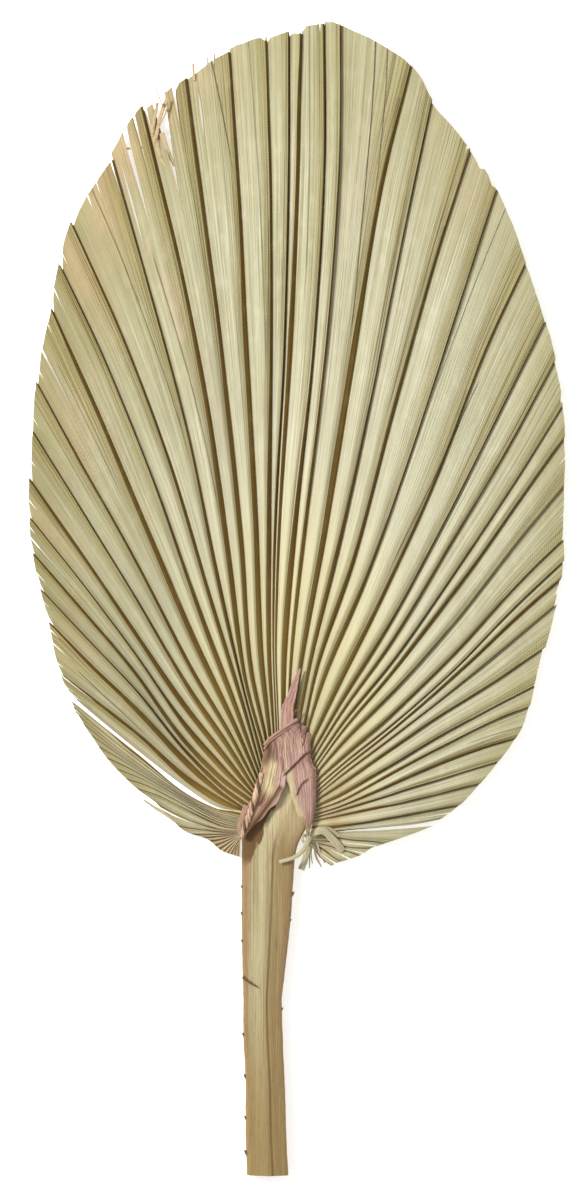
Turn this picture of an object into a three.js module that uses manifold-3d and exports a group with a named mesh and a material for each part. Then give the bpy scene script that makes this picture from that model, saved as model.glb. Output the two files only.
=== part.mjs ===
// A cut, dried fan palm leaf lying on its back face with its upper side up: a pleated blade,
// the stalk it grew on, and the papery flap over the joint.
// +X is the leaf's right, +Y its tip, +Z its upper side. All lengths are in millimetres.
import * as THREE from "three";
import { mergeVertices } from "three/addons/utils/BufferGeometryUtils.js";
import Module from "manifold-3d";

const wasm = await Module();
wasm.setup();

// Driving dimensions
const BLADE_THICKNESS = 1.3; // measured along Z, so that a steep pleat side keeps 0.6 or more
const PLEAT_DEPTH = 4.0; // deepest pleat
const PLEAT_SLOPE = 0.74; // depth of a narrow pleat as a share of its width
const RIM_FLATTENING = 0.3; // share of the depth that is lost towards the rim
const HUB_LIFT = 1.9; // how far the blade's inner edge is higher than the rest
const HUB_LIFT_REACH = 0.3; // share of a fold's length over which the blade comes down
const RIM_WAVE = 1.5; // how far the rim rises in places
const BLADE_CLEARANCE = 1.0; // how far the folds stay off the surface away from the two low points
const RIM_TRIM = 0.004; // uneven trimming of the pleat ends, as a share of their length
const STALK_HEIGHT = 8.0;
const STALK_TIP_HEIGHT = 6.0;
const STALK_FLAT = 5.0; // width of the flat spot the stalk lies on
const FLAP_THICKNESS = 0.9;
const FLAP_HEIGHT = 8.4; // underside of the flap over the surface
const FLAP_CRUMPLE = 0.7;
const FLAP_ROLL = 2.2; // how far the left flap's inner edge curls up
const SPINE_LENGTH = 1.6;
const SPINE_RADIUS = 0.9;
const STRIP_THICKNESS = 0.8; // torn strips

// Where along a fold, from the stalk to the rim, the points of GUIDES lie
const STATIONS = [0, 0.12, 0.3, 0.55, 0.8, 1];

// Guide folds, anticlockwise end first: the left lobe, then the main fan, then the right lobe
const LEFT_LOBE = [
  [[-24.5, -103.5], [-24.5, -105], [-24.5, -106.5], [-24.5, -108.5], [-24.5, -110.5], [-24.5, -112.5]],
  [[-25, -103.5], [-25, -104.5], [-25.5, -106], [-26.5, -108], [-27.5, -110], [-28, -111.5]],
  [[-25, -103], [-26, -104], [-27, -105], [-29, -106.5], [-31, -108], [-33, -109.5]],
  [[-25.5, -103], [-27, -103], [-29.5, -103.5], [-32.5, -104], [-36, -104.5], [-39, -104.5]],
  [[-25.5, -102.5], [-28.5, -102], [-33, -102], [-39, -101.5], [-45, -101], [-49.5, -100.5]],
  [[-26, -101.5], [-30.5, -101], [-37, -99.5], [-46, -96.5], [-54.5, -92.5], [-61, -89]],
  [[-26, -100.5], [-31.5, -99], [-40, -95.5], [-50.5, -90], [-61.5, -84.5], [-71, -81.5]],
  [[-26, -98.5], [-33, -96], [-43.5, -90.5], [-57.5, -82.5], [-71.5, -74.5], [-83, -69]],
  [[-26, -96.5], [-35, -93.5], [-48, -86.5], [-65, -75.5], [-81.5, -63], [-94, -52.5]],
  [[-26, -94], [-36, -91], [-50, -83.5], [-67.5, -69], [-85, -55], [-98.5, -44]],
];
const MAIN_FAN = [
  [[-25.5, -92.5], [-35.5, -90.3], [-48.5, -82], [-66.5, -68.3], [-83.5, -54.5], [-96.5, -43.5]],
  [[-24.5, -91], [-34.5, -85.5], [-49, -76], [-67, -60], [-86, -45], [-103, -32.5]],
  [[-23, -90.5], [-34, -82.5], [-48.5, -69], [-67.5, -49], [-87.5, -30], [-108, -9.5]],
  [[-19.5, -87], [-32.5, -77], [-50, -59], [-70.5, -31], [-93, -4.5], [-115, 20.5]],
  [[-18, -84.5], [-30, -68.5], [-48.5, -45], [-72, -11], [-95.5, 23.5], [-116, 52.5]],
  [[-17, -80.5], [-28, -59], [-46, -28.5], [-69, 15.5], [-93.5, 59], [-113.5, 95]],
  [[-16.5, -77.5], [-27, -52.5], [-44, -16], [-66, 35], [-88, 86.5], [-107, 127.5]],
  [[-16, -70.5], [-24, -41.5], [-37, 1], [-55, 60], [-77, 118], [-98.5, 165]],
  [[-15, -67], [-23.5, -36.5], [-33.5, 9], [-47, 72.5], [-64, 135.5], [-80.5, 193.5]],
  [[-14, -63.5], [-22, -32.5], [-28, 15.5], [-37.5, 82], [-50.5, 147.5], [-66.5, 213]],
  [[-13, -59.5], [-19.5, -26], [-23, 25.5], [-30.5, 97], [-39.5, 168], [-47.5, 227.5]],
  [[-11, -57], [-14.5, -21.5], [-16.5, 31.5], [-20.5, 105], [-24.5, 179], [-29, 239.5]],
  [[-9.5, -56], [-11, -20.5], [-11, 33.5], [-10.5, 108], [-11, 182.5], [-13, 245]],
  [[-7.5, -55.5], [-8.5, -19.5], [-6.5, 35], [-1.5, 110.5], [1.5, 186], [2.5, 248.5]],
  [[-3.5, -56.5], [-1, -20], [5, 34.5], [13.5, 110.5], [19, 186.5], [19.5, 248.5]],
  [[-1.5, -57], [3.5, -22], [13, 29.5], [24.5, 102], [35.5, 174], [48.5, 232]],
  [[1, -57.5], [7.5, -24.5], [19.5, 24.5], [34, 93], [47.5, 161.5], [59, 216]],
  [[3, -59.5], [10, -28.5], [25.5, 16.5], [42.5, 80], [60, 144], [76, 195.5]],
  [[4, -61.5], [13.5, -33], [31, 9], [52, 69], [71.5, 129], [87.5, 178.5]],
  [[6, -65], [18, -40], [36.5, -3], [60.5, 50], [81, 103.5], [100, 146]],
  [[7, -70.5], [20, -50], [41.5, -20], [67.5, 23.5], [93.5, 67.5], [112.5, 103.5]],
  [[7.5, -75.5], [20.5, -58], [42, -33], [70, 3.5], [96, 40.5], [117, 70.5]],
  [[7.5, -81], [21, -69], [42, -51], [69, -24.5], [94, 3.5], [116, 25.5]],
  [[7.5, -85.5], [20.5, -74.5], [40.5, -59], [67.5, -36], [93.5, -11.5], [115.5, 8.5]],
  [[7.5, -89], [19.5, -81.5], [37.5, -69], [62, -52], [87.5, -36], [108, -21.5]],
  [[7.5, -92.5], [19.5, -88.5], [36, -80], [58.5, -67.5], [81.5, -55.5], [101.5, -47]],
  [[7.5, -94.5], [18.5, -91], [34, -85], [55.5, -75.5], [77.5, -67], [95.5, -61]],
  [[7.5, -97], [16, -95.5], [29.5, -93], [47.5, -89], [65.5, -84.5], [80, -80.5]],
  [[7, -100], [15, -100], [26.5, -98.5], [42.5, -95.5], [58, -92.5], [71, -90]],
  [[6.5, -102], [13.5, -101.5], [23.5, -100.5], [37.5, -99], [51.5, -97.5], [62.5, -95]],
];
const RIGHT_LOBE = [
  [[6.5, -103], [13, -102.5], [22.5, -101.5], [36, -101], [49.5, -100], [60, -99]],
  [[6.5, -104], [10, -104], [16, -104], [24, -105], [32, -105.5], [38.5, -106.5]],
  [[6, -105], [9, -105.5], [14, -106], [20.5, -108], [27, -108.5], [32.5, -108.5]],
  [[6, -106], [8.5, -106.5], [12.5, -107.5], [17.5, -109], [23, -110.5], [27, -112]],
  [[5.5, -106.5], [7, -107], [10, -108.5], [13, -110.5], [16.5, -113], [19.5, -114.5]],
  [[5, -107], [6, -108], [8, -109.5], [10, -112.5], [12.5, -114.5], [15, -116.5]],
];

// Each fan: its guides, the share of a fold's length at its inner edge, where its valley folds
// lie between the guides (2.5 is halfway from 2 to 3), and its slits. A slit lies at a place
// between guides and opens from a share of the fold's length to the rim, or to a second share;
// width is its widest opening.
const FANS = [
  {
    guides: LEFT_LOBE,
    inner: 0,
    folds: [0, 0.7, 1.4, 2.1, 3, 4, 5, 6, 7, 8, 9],
    slits: [
      { at: 5, from: 0.55, to: 1, width: 1.3 },
      { at: 8.4, from: 0.9, to: 1, width: 0.8 },
    ],
  },
  {
    guides: MAIN_FAN,
    inner: -0.01,
    folds: [
      0, 1, 2, 2.5, 3, 3.5, 4, 4.5, 5, 6, 6.5, 7, 8, 9, 10, 11, 12, 12.65, 13, 13.63, 14, 15, 16, 17,
      18, 19, 19.6, 20, 20.6, 21, 21.45, 22, 22.5, 23, 23.4, 24, 24.6, 25, 26, 26.5, 27, 28, 29,
    ],
    slits: [
      { at: 0.35, from: 0.86, to: 1, width: 1.0 },
      { at: 0.93, from: 0.8, to: 1, width: 1.2 },
      { at: 3.2, from: 0.82, to: 1, width: 1.1 },
      { at: 5.42, from: 0.85, to: 1, width: 1.1 },
      { at: 6.2, from: 0.94, to: 1, width: 0.9 },
      { at: 7.4, from: 0.97, to: 1, width: 0.9 },
      { at: 7.95, from: 0.94, to: 1, width: 0.9 },
      { at: 8.14, from: 0.85, to: 0.97, width: 1.0 },
      { at: 8.42, from: 0.87, to: 1, width: 3.2 },
      { at: 8.74, from: 0.94, to: 1, width: 1.2 },
      { at: 9.35, from: 0.87, to: 1, width: 7 },
      { at: 9.68, from: 0.94, to: 1, width: 1.4 },
      { at: 10.2, from: 0.9, to: 0.97, width: 0.9 },
      { at: 21.2, from: 0.97, to: 1, width: 0.9 },
      { at: 28.4, from: 0.68, to: 1, width: 1.1 },
    ],
  },
  {
    guides: RIGHT_LOBE,
    inner: 0,
    folds: [0, 1, 2, 3, 4, 5],
    slits: [
      { at: 1.4, from: 0.36, to: 1, width: 1.0 },
      { at: 2.6, from: 0.36, to: 1, width: 1.0 },
      { at: 3.45, from: 0.36, to: 1, width: 0.9 },
      { at: 4.4, from: 0.36, to: 1, width: 0.9 },
    ],
  },
];
// The leaf lies on a flat spot of its stalk and on two folds of the main fan: which fold, and
// where along it
const LOW_POINTS = [{ fold: 7, along: 0.8 }, { fold: 19, along: 0.8 }];
// Share of the fold's length at which each fan comes free from the one before it
const FAN_SPLITS = [0.04, 0.17];
const BLADE_ROWS = [0, 0.04, 0.1, 0.17, 0.28, 0.41, 0.55, 0.69, 0.8, 0.88, 0.94, 0.97, 1];

// The stalk from its cut end to its head inside the blade: place along Y, left and right edge,
// and height of its underside over the surface, which it meets between the third and the fourth
const STALK_SECTIONS = [
  [-250, -21.5, -3.5, 0.7], [-232, -22, -4.5, 0.4], [-211, -22, -5, 0], [-190, -23, -6, 0],
  [-174.5, -23, -6.5, 0.3], [-159, -23.5, -4.6, 0.5], [-138, -23.7, -2.4, 0.7],
  [-122.5, -23.7, -1.4, 0.8], [-114.5, -23.7, -0.8, 0.9], [-109.5, -23.5, -0.3, 0.9],
  [-105, -23.5, 1.2, 1], [-100, -23.3, 4.3, 1], [-94, -22.6, 5, 1], [-91.5, -19.7, 5.4, 1],
  [-87.5, -16.3, 5.5, 1], [-81, -14, 5.5, 1], [-74.5, -12, 4.5, 1], [-69.5, -10.5, 3, 1],
  [-65.5, -9, 0.5, 1], [-63, -6.5, -2.5, 1],
];
// A section of the stalk: place across it from -1 to 1, and height as a share of the stalk's
const STALK_PROFILE = [
  [0.62, 0.16], [0.93, 0.42], [1, 0.6], [0.9, 0.78], [0.55, 0.88], [0.12, 1],
  [-0.35, 0.9], [-0.8, 0.82], [-1, 0.6], [-0.93, 0.42], [-0.62, 0.16],
];
const LEFT_SPINES = [-125.5, -137, -149, -189.5, -207.5, -225.5, -240.5];
const RIGHT_SPINES = [-128.5, -140, -178.5];
const TWIG = [[-23.3, -164, 5.4], [-20.5, -166, 7.0], [-17, -168, 7.8]];

// The flap from its top edge to its two lower ends: outer left, inner left, inner right and
// outer right edge. The first four rows are whole, so their inner edges meet in the middle.
const FLAP_ROWS = [
  [[-13, -62.5], null, null, [1, -54]],
  [[-14, -66], null, null, [5.5, -57.5]],
  [[-15, -69.5], null, null, [6.5, -64]],
  [[-15.5, -73], null, null, [8.5, -69]],
  [[-16.5, -77], [-4.5, -77.5], [-4.5, -77.5], [8.5, -74]],
  [[-17.3, -80.5], [-5, -81], [-3.5, -80.5], [8.5, -79]],
  [[-18.5, -84], [-6.5, -84], [-2.5, -84], [8.5, -84]],
  [[-19.8, -87], [-8.5, -88.5], [-1.5, -87.5], [8.5, -89]],
  [[-21.5, -90.2], [-11.5, -91], [-0.5, -91], [8, -93]],
  [[-22.6, -93.8], [-14.5, -95], [0.5, -93.5], [7.5, -96]],
  [[-23.5, -97.4], [-17.5, -97.5], [3, -96.5], [6.5, -98.5]],
  [[-24.4, -100.6], [-20.5, -100.5], [4, -100], [5.8, -101.5]],
  [[-24.5, -103], [-22.5, -103.5], [4.3, -102], [5.4, -103]],
];
const FLAP_WHOLE_ROWS = 4;
const FLAP_COLUMNS = 5; // on each half

// Torn strips: centre line with its heights, then the width at its two ends
const TORN_STRIPS = [
  { line: [[-43, -99.4, 0.8], [-50, -96.6, 1], [-58, -92, 0.8], [-66, -88, 0.6]], widths: [2.2, 0.7] },
  { line: [[9, -103.6, 4], [6, -103.4, 5.2], [4.6, -105.6, 7.6], [2.8, -109, 9], [-1, -112, 9], [-7.5, -114, 8.6]], widths: [3, 1.6] },
  { line: [[9, -104.6, 3.2], [5.8, -105, 3.6], [4.8, -109, 3.4], [3.6, -114, 2.2], [2, -118, 1.2]], widths: [2.4, 2.8] },
  { line: [[8, -105.8, 3.2], [6, -109, 2.6], [5.4, -117.5, 0.8]], widths: [1.2, 0.8] },
  { line: [[8, -106.5, 2.6], [8.4, -112, 1.4], [10.8, -117, 0.3]], widths: [1.4, 0.9] },
];
const FRAYED_TIPS = [
  { line: [[-57.5, 186, 2.2], [-60.5, 197, 3.6], [-63, 208, 4.6], [-62.5, 215.5, 5]], widths: [1.2, 1.0] },
  { line: [[-58.5, 188, 2.4], [-60, 198, 4.6], [-58, 209.5, 5.6], [-54.5, 217, 4.6]], widths: [1.4, 1.2] },
  { line: [[-53.5, 209, 3.4], [-56.5, 214, 7], [-60.5, 220.5, 8]], widths: [1.1, 0.8] },
  { line: [[-74, 195, 2.6], [-69, 195.3, 3.4], [-64.5, 195.5, 3.0]], widths: [0.9, 0.9] },
];
const TONGUE = { line: [[-3.5, -60, 0], [-4, -48.5, 0], [-2, -42, 0], [-0.3, -35.5, -0.3], [1.5, -30.5, -0.5]], widths: [6.5, 0.9] };
const ROLLED_EDGE = { line: [[-14, -64, 0.9], [-11, -60.5, 1.2], [-6, -57, 1.2], [0.5, -52.5, 0.9]], widths: [2.2, 2.6] };
const PINK_SHRED = { line: [[-21.5, -89.5, 0], [-23, -94, 0.4], [-24, -98, 0.3], [-23.6, -101.8, 0]], widths: [3, 3.4] };

const lerp = THREE.MathUtils.lerp;
const clamp = THREE.MathUtils.clamp;
const smoothstep = THREE.MathUtils.smoothstep;

// A repeatable draw between -1 and 1 for a pair of whole numbers
function draw(i, j = 0) {
  const v = Math.sin(i * 127.1 + j * 311.7 + 17.3) * 43758.5453;
  return 2 * (v - Math.floor(v)) - 1;
}

// The cubic through the points of one guide fold at a share s of its length
function onGuide(points, s) {
  let i = STATIONS.findIndex((v) => v > s) - 1;
  if (i < -1) i = STATIONS.length - 2;
  i = clamp(i, 0, STATIONS.length - 2);
  const slope = (n, axis) => {
    const a = Math.max(n - 1, 0);
    const b = Math.min(n + 1, STATIONS.length - 1);
    return (points[b][axis] - points[a][axis]) / (STATIONS[b] - STATIONS[a]);
  };
  const h = STATIONS[i + 1] - STATIONS[i];
  const t = (s - STATIONS[i]) / h;
  return [0, 1].map((axis) => {
    const p = points[i][axis];
    const q = points[i + 1][axis];
    const m = slope(i, axis) * h;
    const n = slope(i + 1, axis) * h;
    return (2 * t ** 3 - 3 * t ** 2 + 1) * p + (t ** 3 - 2 * t ** 2 + t) * m
      + (3 * t ** 2 - 2 * t ** 3) * q + (t ** 3 - t ** 2) * n;
  });
}

// The place in plan between guides g, a share s of the way to the rim
function inFan(guides, g, s) {
  const i = clamp(Math.floor(g), 0, guides.length - 2);
  const t = g - i;
  const at = (n) => onGuide(guides[clamp(n, 0, guides.length - 1)], s);
  const [a, b, c, d] = [at(i - 1), at(i), at(i + 1), at(i + 2)];
  return [0, 1].map((axis) => 0.5 * (2 * b[axis] + (c[axis] - a[axis]) * t
    + (2 * a[axis] - 5 * b[axis] + 4 * c[axis] - d[axis]) * t ** 2
    + (3 * b[axis] - a[axis] - 3 * c[axis] + d[axis]) * t ** 3));
}

// A closed sheet: the same triangles above and below, walls wherever a triangle side is free
function closedSheet(points, triangles, thickness) {
  const count = points.length;
  const vertices = new Float32Array(count * 6);
  points.forEach(([x, y, z], i) => {
    vertices.set([x, y, z + thickness], i * 3);
    vertices.set([x, y, z], (count + i) * 3);
  });
  const area = triangles.reduce((sum, [a, b, c]) => {
    const [p, q, r] = [points[a], points[b], points[c]];
    return sum + (q[0] - p[0]) * (r[1] - p[1]) - (q[1] - p[1]) * (r[0] - p[0]);
  }, 0);
  const upper = area > 0 ? triangles : triangles.map(([a, b, c]) => [a, c, b]);
  const sides = new Map();
  for (const [a, b, c] of upper) {
    for (const [p, q] of [[a, b], [b, c], [c, a]]) sides.set(p * count + q, [p, q]);
  }
  const faces = [];
  for (const [a, b, c] of upper) {
    faces.push(a, b, c);
    faces.push(count + a, count + c, count + b);
  }
  for (const [p, q] of sides.values()) {
    if (sides.has(q * count + p)) continue;
    faces.push(p, count + p, count + q);
    faces.push(p, count + q, q);
  }
  return new wasm.Manifold(new wasm.Mesh({
    numProp: 3,
    vertProperties: vertices,
    triVerts: new Uint32Array(faces),
  }));
}

// Triangles of a grid of vertex numbers, which skips the cells that have no width
function gridTriangles(columns, skip) {
  const triangles = [];
  for (let c = 0; c + 1 < columns.length; c++) {
    if (skip.has(c)) continue;
    for (let r = 0; r + 1 < columns[c].length; r++) {
      const [a, b] = [columns[c][r], columns[c + 1][r]];
      const [d, e] = [columns[c][r + 1], columns[c + 1][r + 1]];
      triangles.push([a, b, e], [a, e, d]);
    }
  }
  return triangles;
}

// A narrow strip of leaf along a centre line
function strip({ line, widths }, thickness, lift = 0) {
  const path = new THREE.CatmullRomCurve3(line.map((p) => new THREE.Vector3(...p)));
  const steps = line.length * 2;
  const points = [];
  const columns = [[], []];
  for (let r = 0; r <= steps; r++) {
    const s = r / steps;
    const p = path.getPoint(s);
    const t = path.getTangent(s).setZ(0).normalize();
    const half = lerp(widths[0], widths[1], s) / 2;
    [-1, 1].forEach((side, c) => {
      columns[c].push(points.length);
      points.push([p.x + t.y * side * half, p.y - t.x * side * half, p.z + lift]);
    });
  }
  return closedSheet(points, gridTriangles(columns, new Set()), thickness);
}

function pleatShape(width) {
  const open = clamp((width - 5) / 9, 0, 1);
  const drop = clamp(0.14 * width, Math.min(0.25 * width, 1.1), 4);
  return {
    depth: Math.min(PLEAT_DEPTH, PLEAT_SLOPE * width),
    crest: lerp(0.5, 0.58, open),
    shoulder: 1 - drop / width,
    shoulderHeight: lerp(0.5, 0.74, open),
  };
}

// One fan's columns, from fold to fold: a fold, a crest, a shoulder, and a pair at each slit
function fanColumns({ folds, slits }) {
  const columns = [];
  folds.forEach((fold, k) => {
    const pleat = Math.min(k, folds.length - 2);
    const u = k - pleat;
    const cut = slits.find((v) => v.at === fold);
    if (cut) {
      columns.push({ pleat, u, side: -1, cut }, { pleat, u, side: 1, cut });
    } else {
      columns.push({ pleat, u, side: 0 });
    }
    if (u === 1) return;
    const inside = slits
      .filter((v) => v.at > fold && v.at < folds[k + 1])
      .map((v) => ({ cut: v, u: (v.at - fold) / (folds[k + 1] - fold) }));
    const marks = [...inside, { u: 0.54, role: "crest" }, { u: 0.84, role: "shoulder" }];
    for (const mark of marks.sort((a, b) => a.u - b.u)) {
      if (mark.cut) {
        columns.push({ pleat, u: mark.u, side: -1, cut: mark.cut });
        columns.push({ pleat, u: mark.u, side: 1, cut: mark.cut });
      } else {
        columns.push({ pleat, role: mark.role, side: 0 });
      }
    }
  });
  return columns;
}

function cutOpening(cut, s) {
  if (!cut || s <= cut.from) return 0;
  if (cut.to === 1) return cut.width * (s - cut.from) / (1 - cut.from);
  return s >= cut.to ? 0 : cut.width * Math.sin(Math.PI * (s - cut.from) / (cut.to - cut.from));
}

// How near a place of the main fan is to one of its low points, from 0 to 1
function lowness(g, s) {
  return Math.max(...LOW_POINTS.map(({ fold, along }) => (
    Math.exp(-(((g - fold) / 1.5) ** 2) - ((s - along) / 0.2) ** 2))));
}

// A point of the blade's lower face
function bladePoint(fan, column, s) {
  const { guides, folds } = fan;
  const [near, far] = [folds[column.pleat], folds[column.pleat + 1]];
  const a = inFan(guides, near, s);
  const b = inFan(guides, far, s);
  const width = Math.hypot(b[0] - a[0], b[1] - a[1]);
  const shape = pleatShape(width);
  const u = column.role ? shape[column.role] : column.u;
  const g = lerp(near, far, u);
  const trim = 1 + RIM_TRIM * draw(column.pleat, guides.length) * smoothstep(s, 0.9, 1);
  const p = inFan(guides, g, s * trim);
  const opening = cutOpening(column.cut, s);
  if (opening) {
    const [l, r] = [inFan(guides, g - 0.05, s), inFan(guides, g + 0.05, s)];
    const across = Math.hypot(r[0] - l[0], r[1] - l[1]);
    p[0] += column.side * opening / 2 * (r[0] - l[0]) / across;
    p[1] += column.side * opening / 2 * (r[1] - l[1]) / across;
  }
  let profile = 0;
  if (u > 0 && u <= shape.crest) profile = u / shape.crest;
  else if (u < shape.shoulder) {
    profile = u === 0 ? 0 : lerp(1, shape.shoulderHeight, (u - shape.crest) / (shape.shoulder - shape.crest));
  } else profile = shape.shoulderHeight * (1 - u) / (1 - shape.shoulder);
  const depth = shape.depth * (1 - RIM_FLATTENING * clamp(s, 0, 1));
  const lift = HUB_LIFT * (1 - smoothstep(s, 0, HUB_LIFT_REACH));
  const wave = RIM_WAVE * (1 + Math.sin(g * 1.1 + guides.length)) / 2 * clamp(s, 0, 1) ** 2;
  const low = guides === MAIN_FAN ? lowness(g, s) : 0;
  return [p[0], p[1], lift + (BLADE_CLEARANCE + wave) * (1 - low) + depth * profile];
}

function bladeSolid() {
  const points = [];
  const grid = [];
  const skip = new Set();
  FANS.forEach((fan, f) => {
    fanColumns(fan).forEach((column, c, all) => {
      const before = grid[grid.length - 1];
      const firstOfFan = c === 0 && f > 0;
      const pair = firstOfFan || (column.side === 1 && all[c - 1].cut === column.cut);
      if (pair) skip.add(grid.length - 1);
      grid.push(BLADE_ROWS.map((s, r) => {
        const p = bladePoint(fan, column, s || fan.inner);
        const open = firstOfFan ? s > FAN_SPLITS[f - 1] : cutOpening(column.cut, s) > 0;
        if (pair && !open) {
          const q = points[before[r]];
          [0, 1, 2].forEach((axis) => { q[axis] = (q[axis] + p[axis]) / 2; });
          return before[r];
        }
        points.push(p);
        return points.length - 1;
      }));
    });
  });
  let solid = closedSheet(points, gridTriangles(grid, skip), BLADE_THICKNESS);
  for (const torn of [...TORN_STRIPS, ...FRAYED_TIPS]) solid = solid.add(strip(torn, STRIP_THICKNESS));
  return outerBody(solid);
}

// The solid without the specks of air that are closed in where thin strips cross
function outerBody(solid) {
  return solid.decompose().reduce((a, b) => (b.volume() > a.volume() ? b : a));
}

function fromGeometry(geometry) {
  geometry.deleteAttribute("normal");
  geometry.deleteAttribute("uv");
  const merged = mergeVertices(geometry, 1e-4);
  return new wasm.Manifold(new wasm.Mesh({
    numProp: 3,
    vertProperties: merged.attributes.position.array,
    triVerts: new Uint32Array(merged.index.array),
  }));
}

// A spine stub on the stalk's margin, leaning towards the blade
function spine(x, y, side, height) {
  const cone = new THREE.ConeGeometry(SPINE_RADIUS, SPINE_LENGTH + 1.6, 6);
  cone.rotateZ(-side * Math.PI / 2 * 0.82);
  cone.translate(x + side * 0.2, y, height);
  return fromGeometry(cone);
}

function stalkEdges(y) {
  const i = clamp(STALK_SECTIONS.findIndex((v) => v[0] >= y) - 1, 0, STALK_SECTIONS.length - 2);
  const [a, b] = [STALK_SECTIONS[i], STALK_SECTIONS[i + 1]];
  const t = (y - a[0]) / (b[0] - a[0]);
  return [lerp(a[1], b[1], t), lerp(a[2], b[2], t)];
}

function stalkSolid() {
  const last = STALK_SECTIONS.length - 1;
  const ring = STALK_PROFILE.length + 2;
  const vertices = [];
  STALK_SECTIONS.forEach(([y, left, right, under], i) => {
    const middle = (left + right) / 2;
    const half = (right - left) / 2;
    const head = smoothstep(i, last - 5, last);
    const height = lerp(STALK_HEIGHT, STALK_TIP_HEIGHT, head);
    const flat = Math.min(STALK_FLAT / 2, half * 0.5);
    vertices.push(middle - flat, y, under, middle + flat, y, under);
    for (const [u, v] of STALK_PROFILE) vertices.push(middle + u * half, y, v * height);
  });
  const faces = [];
  for (let i = 0; i < last; i++) {
    for (let k = 0; k < ring; k++) {
      const [a, b] = [i * ring + k, i * ring + (k + 1) % ring];
      faces.push(a, b + ring, b, a, a + ring, b + ring);
    }
  }
  for (const [i, end] of [[0, 0], [last, 1]]) {
    const [y, left, right] = STALK_SECTIONS[i];
    const centre = vertices.length / 3;
    vertices.push((left + right) / 2, y, STALK_TIP_HEIGHT / 2);
    for (let k = 0; k < ring; k++) {
      const [a, b] = [i * ring + k, i * ring + (k + 1) % ring];
      faces.push(...(end ? [b, a, centre] : [a, b, centre]));
    }
  }
  let solid = new wasm.Manifold(new wasm.Mesh({
    numProp: 3,
    vertProperties: new Float32Array(vertices),
    triVerts: new Uint32Array(faces),
  }));
  for (const y of LEFT_SPINES) solid = solid.add(spine(stalkEdges(y)[0], y, -1, STALK_HEIGHT * 0.62));
  for (const y of RIGHT_SPINES) solid = solid.add(spine(stalkEdges(y)[1], y, 1, STALK_HEIGHT * 0.62));
  return solid.add(strip({ line: TWIG, widths: [1.6, 0.7] }, STRIP_THICKNESS));
}

// The flap: a crumpled sheet, parted below its middle into two, with the left part's inner
// edge curled up
function flapSolid() {
  const rows = [];
  FLAP_ROWS.forEach(([outerLeft, innerLeft, innerRight, outerRight], i) => {
    const middle = [lerp(outerLeft[0], outerRight[0], 0.5), lerp(outerLeft[1], outerRight[1], 0.5)];
    const row = [outerLeft, innerLeft ?? middle, innerRight ?? middle, outerRight];
    if (i > 0) {
      const before = rows[rows.length - 1];
      rows.push(row.map((p, n) => [lerp(before[n][0], p[0], 0.5), lerp(before[n][1], p[1], 0.5)]));
    }
    rows.push(row);
  });
  const points = [];
  const wholeRows = 2 * FLAP_WHOLE_ROWS + 1;
  const columns = [];
  for (let side = 0; side < 2; side++) {
    for (let c = 0; c <= FLAP_COLUMNS; c++) {
      columns.push(rows.map((row, r) => {
        if (side === 1 && c === 0 && r < wholeRows) return columns[FLAP_COLUMNS][r];
        const t = c / FLAP_COLUMNS;
        const x = lerp(row[side * 2][0], row[side * 2 + 1][0], t);
        const y = lerp(row[side * 2][1], row[side * 2 + 1][1], t);
        const curl = side === 0 ? FLAP_ROLL * t ** 3 * smoothstep(r, wholeRows - 2, wholeRows + 2) : 0;
        const crumple = FLAP_CRUMPLE * (0.5 + 0.4 * draw(side * 10 + c) + 0.1 * draw(side * 10 + c, r + 1));
        points.push([x, y, FLAP_HEIGHT + curl + crumple]);
        return points.length - 1;
      }));
    }
  }
  const sheet = closedSheet(points, gridTriangles(columns, new Set([FLAP_COLUMNS])), FLAP_THICKNESS);
  return sheet
    .add(strip(TONGUE, FLAP_THICKNESS, FLAP_HEIGHT + 0.4))
    .add(strip(ROLLED_EDGE, FLAP_THICKNESS, FLAP_HEIGHT))
    .add(strip(PINK_SHRED, FLAP_THICKNESS, FLAP_HEIGHT));
}

function part(name, solid, colour, roughness) {
  const mesh = solid.getMesh();
  const geometry = new THREE.BufferGeometry();
  const positions = new Float32Array(mesh.numVert * 3);
  for (let i = 0; i < mesh.numVert; i++) {
    positions.set(mesh.vertProperties.subarray(i * mesh.numProp, i * mesh.numProp + 3), i * 3);
  }
  geometry.setAttribute("position", new THREE.BufferAttribute(positions, 3));
  geometry.setIndex(new THREE.BufferAttribute(mesh.triVerts, 1));
  const material = new THREE.MeshStandardMaterial({ color: colour, roughness, metalness: 0, flatShading: true });
  const piece = new THREE.Mesh(geometry, material);
  piece.name = name;
  return piece;
}

const leaf = new THREE.Group();
leaf.name = "fan_palm_leaf";
leaf.add(part("blade", bladeSolid(), 0xc6c79a, 0.6));
leaf.add(part("petiole", stalkSolid(), 0xc9b98a, 0.5));
leaf.add(part("hastula", flapSolid(), 0xb89a94, 0.8));

// The origin is under the middle of the leaf, on the surface it lies on
const box = new THREE.Box3().setFromObject(leaf);
const centre = box.getCenter(new THREE.Vector3());
leaf.position.set(-centre.x, -centre.y, -box.min.z);

export default leaf;
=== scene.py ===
"""A cut, dried fan palm leaf on a pale floor, laid out as a Blender add-on and run as a script.

The blade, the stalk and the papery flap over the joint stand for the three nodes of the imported
model. Shapes are worked out in millimetres in the plan of the leaf, +X to its right, +Y to its
tip and +Z out of its upper side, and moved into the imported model's frame at the end.
"""

import math

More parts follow.
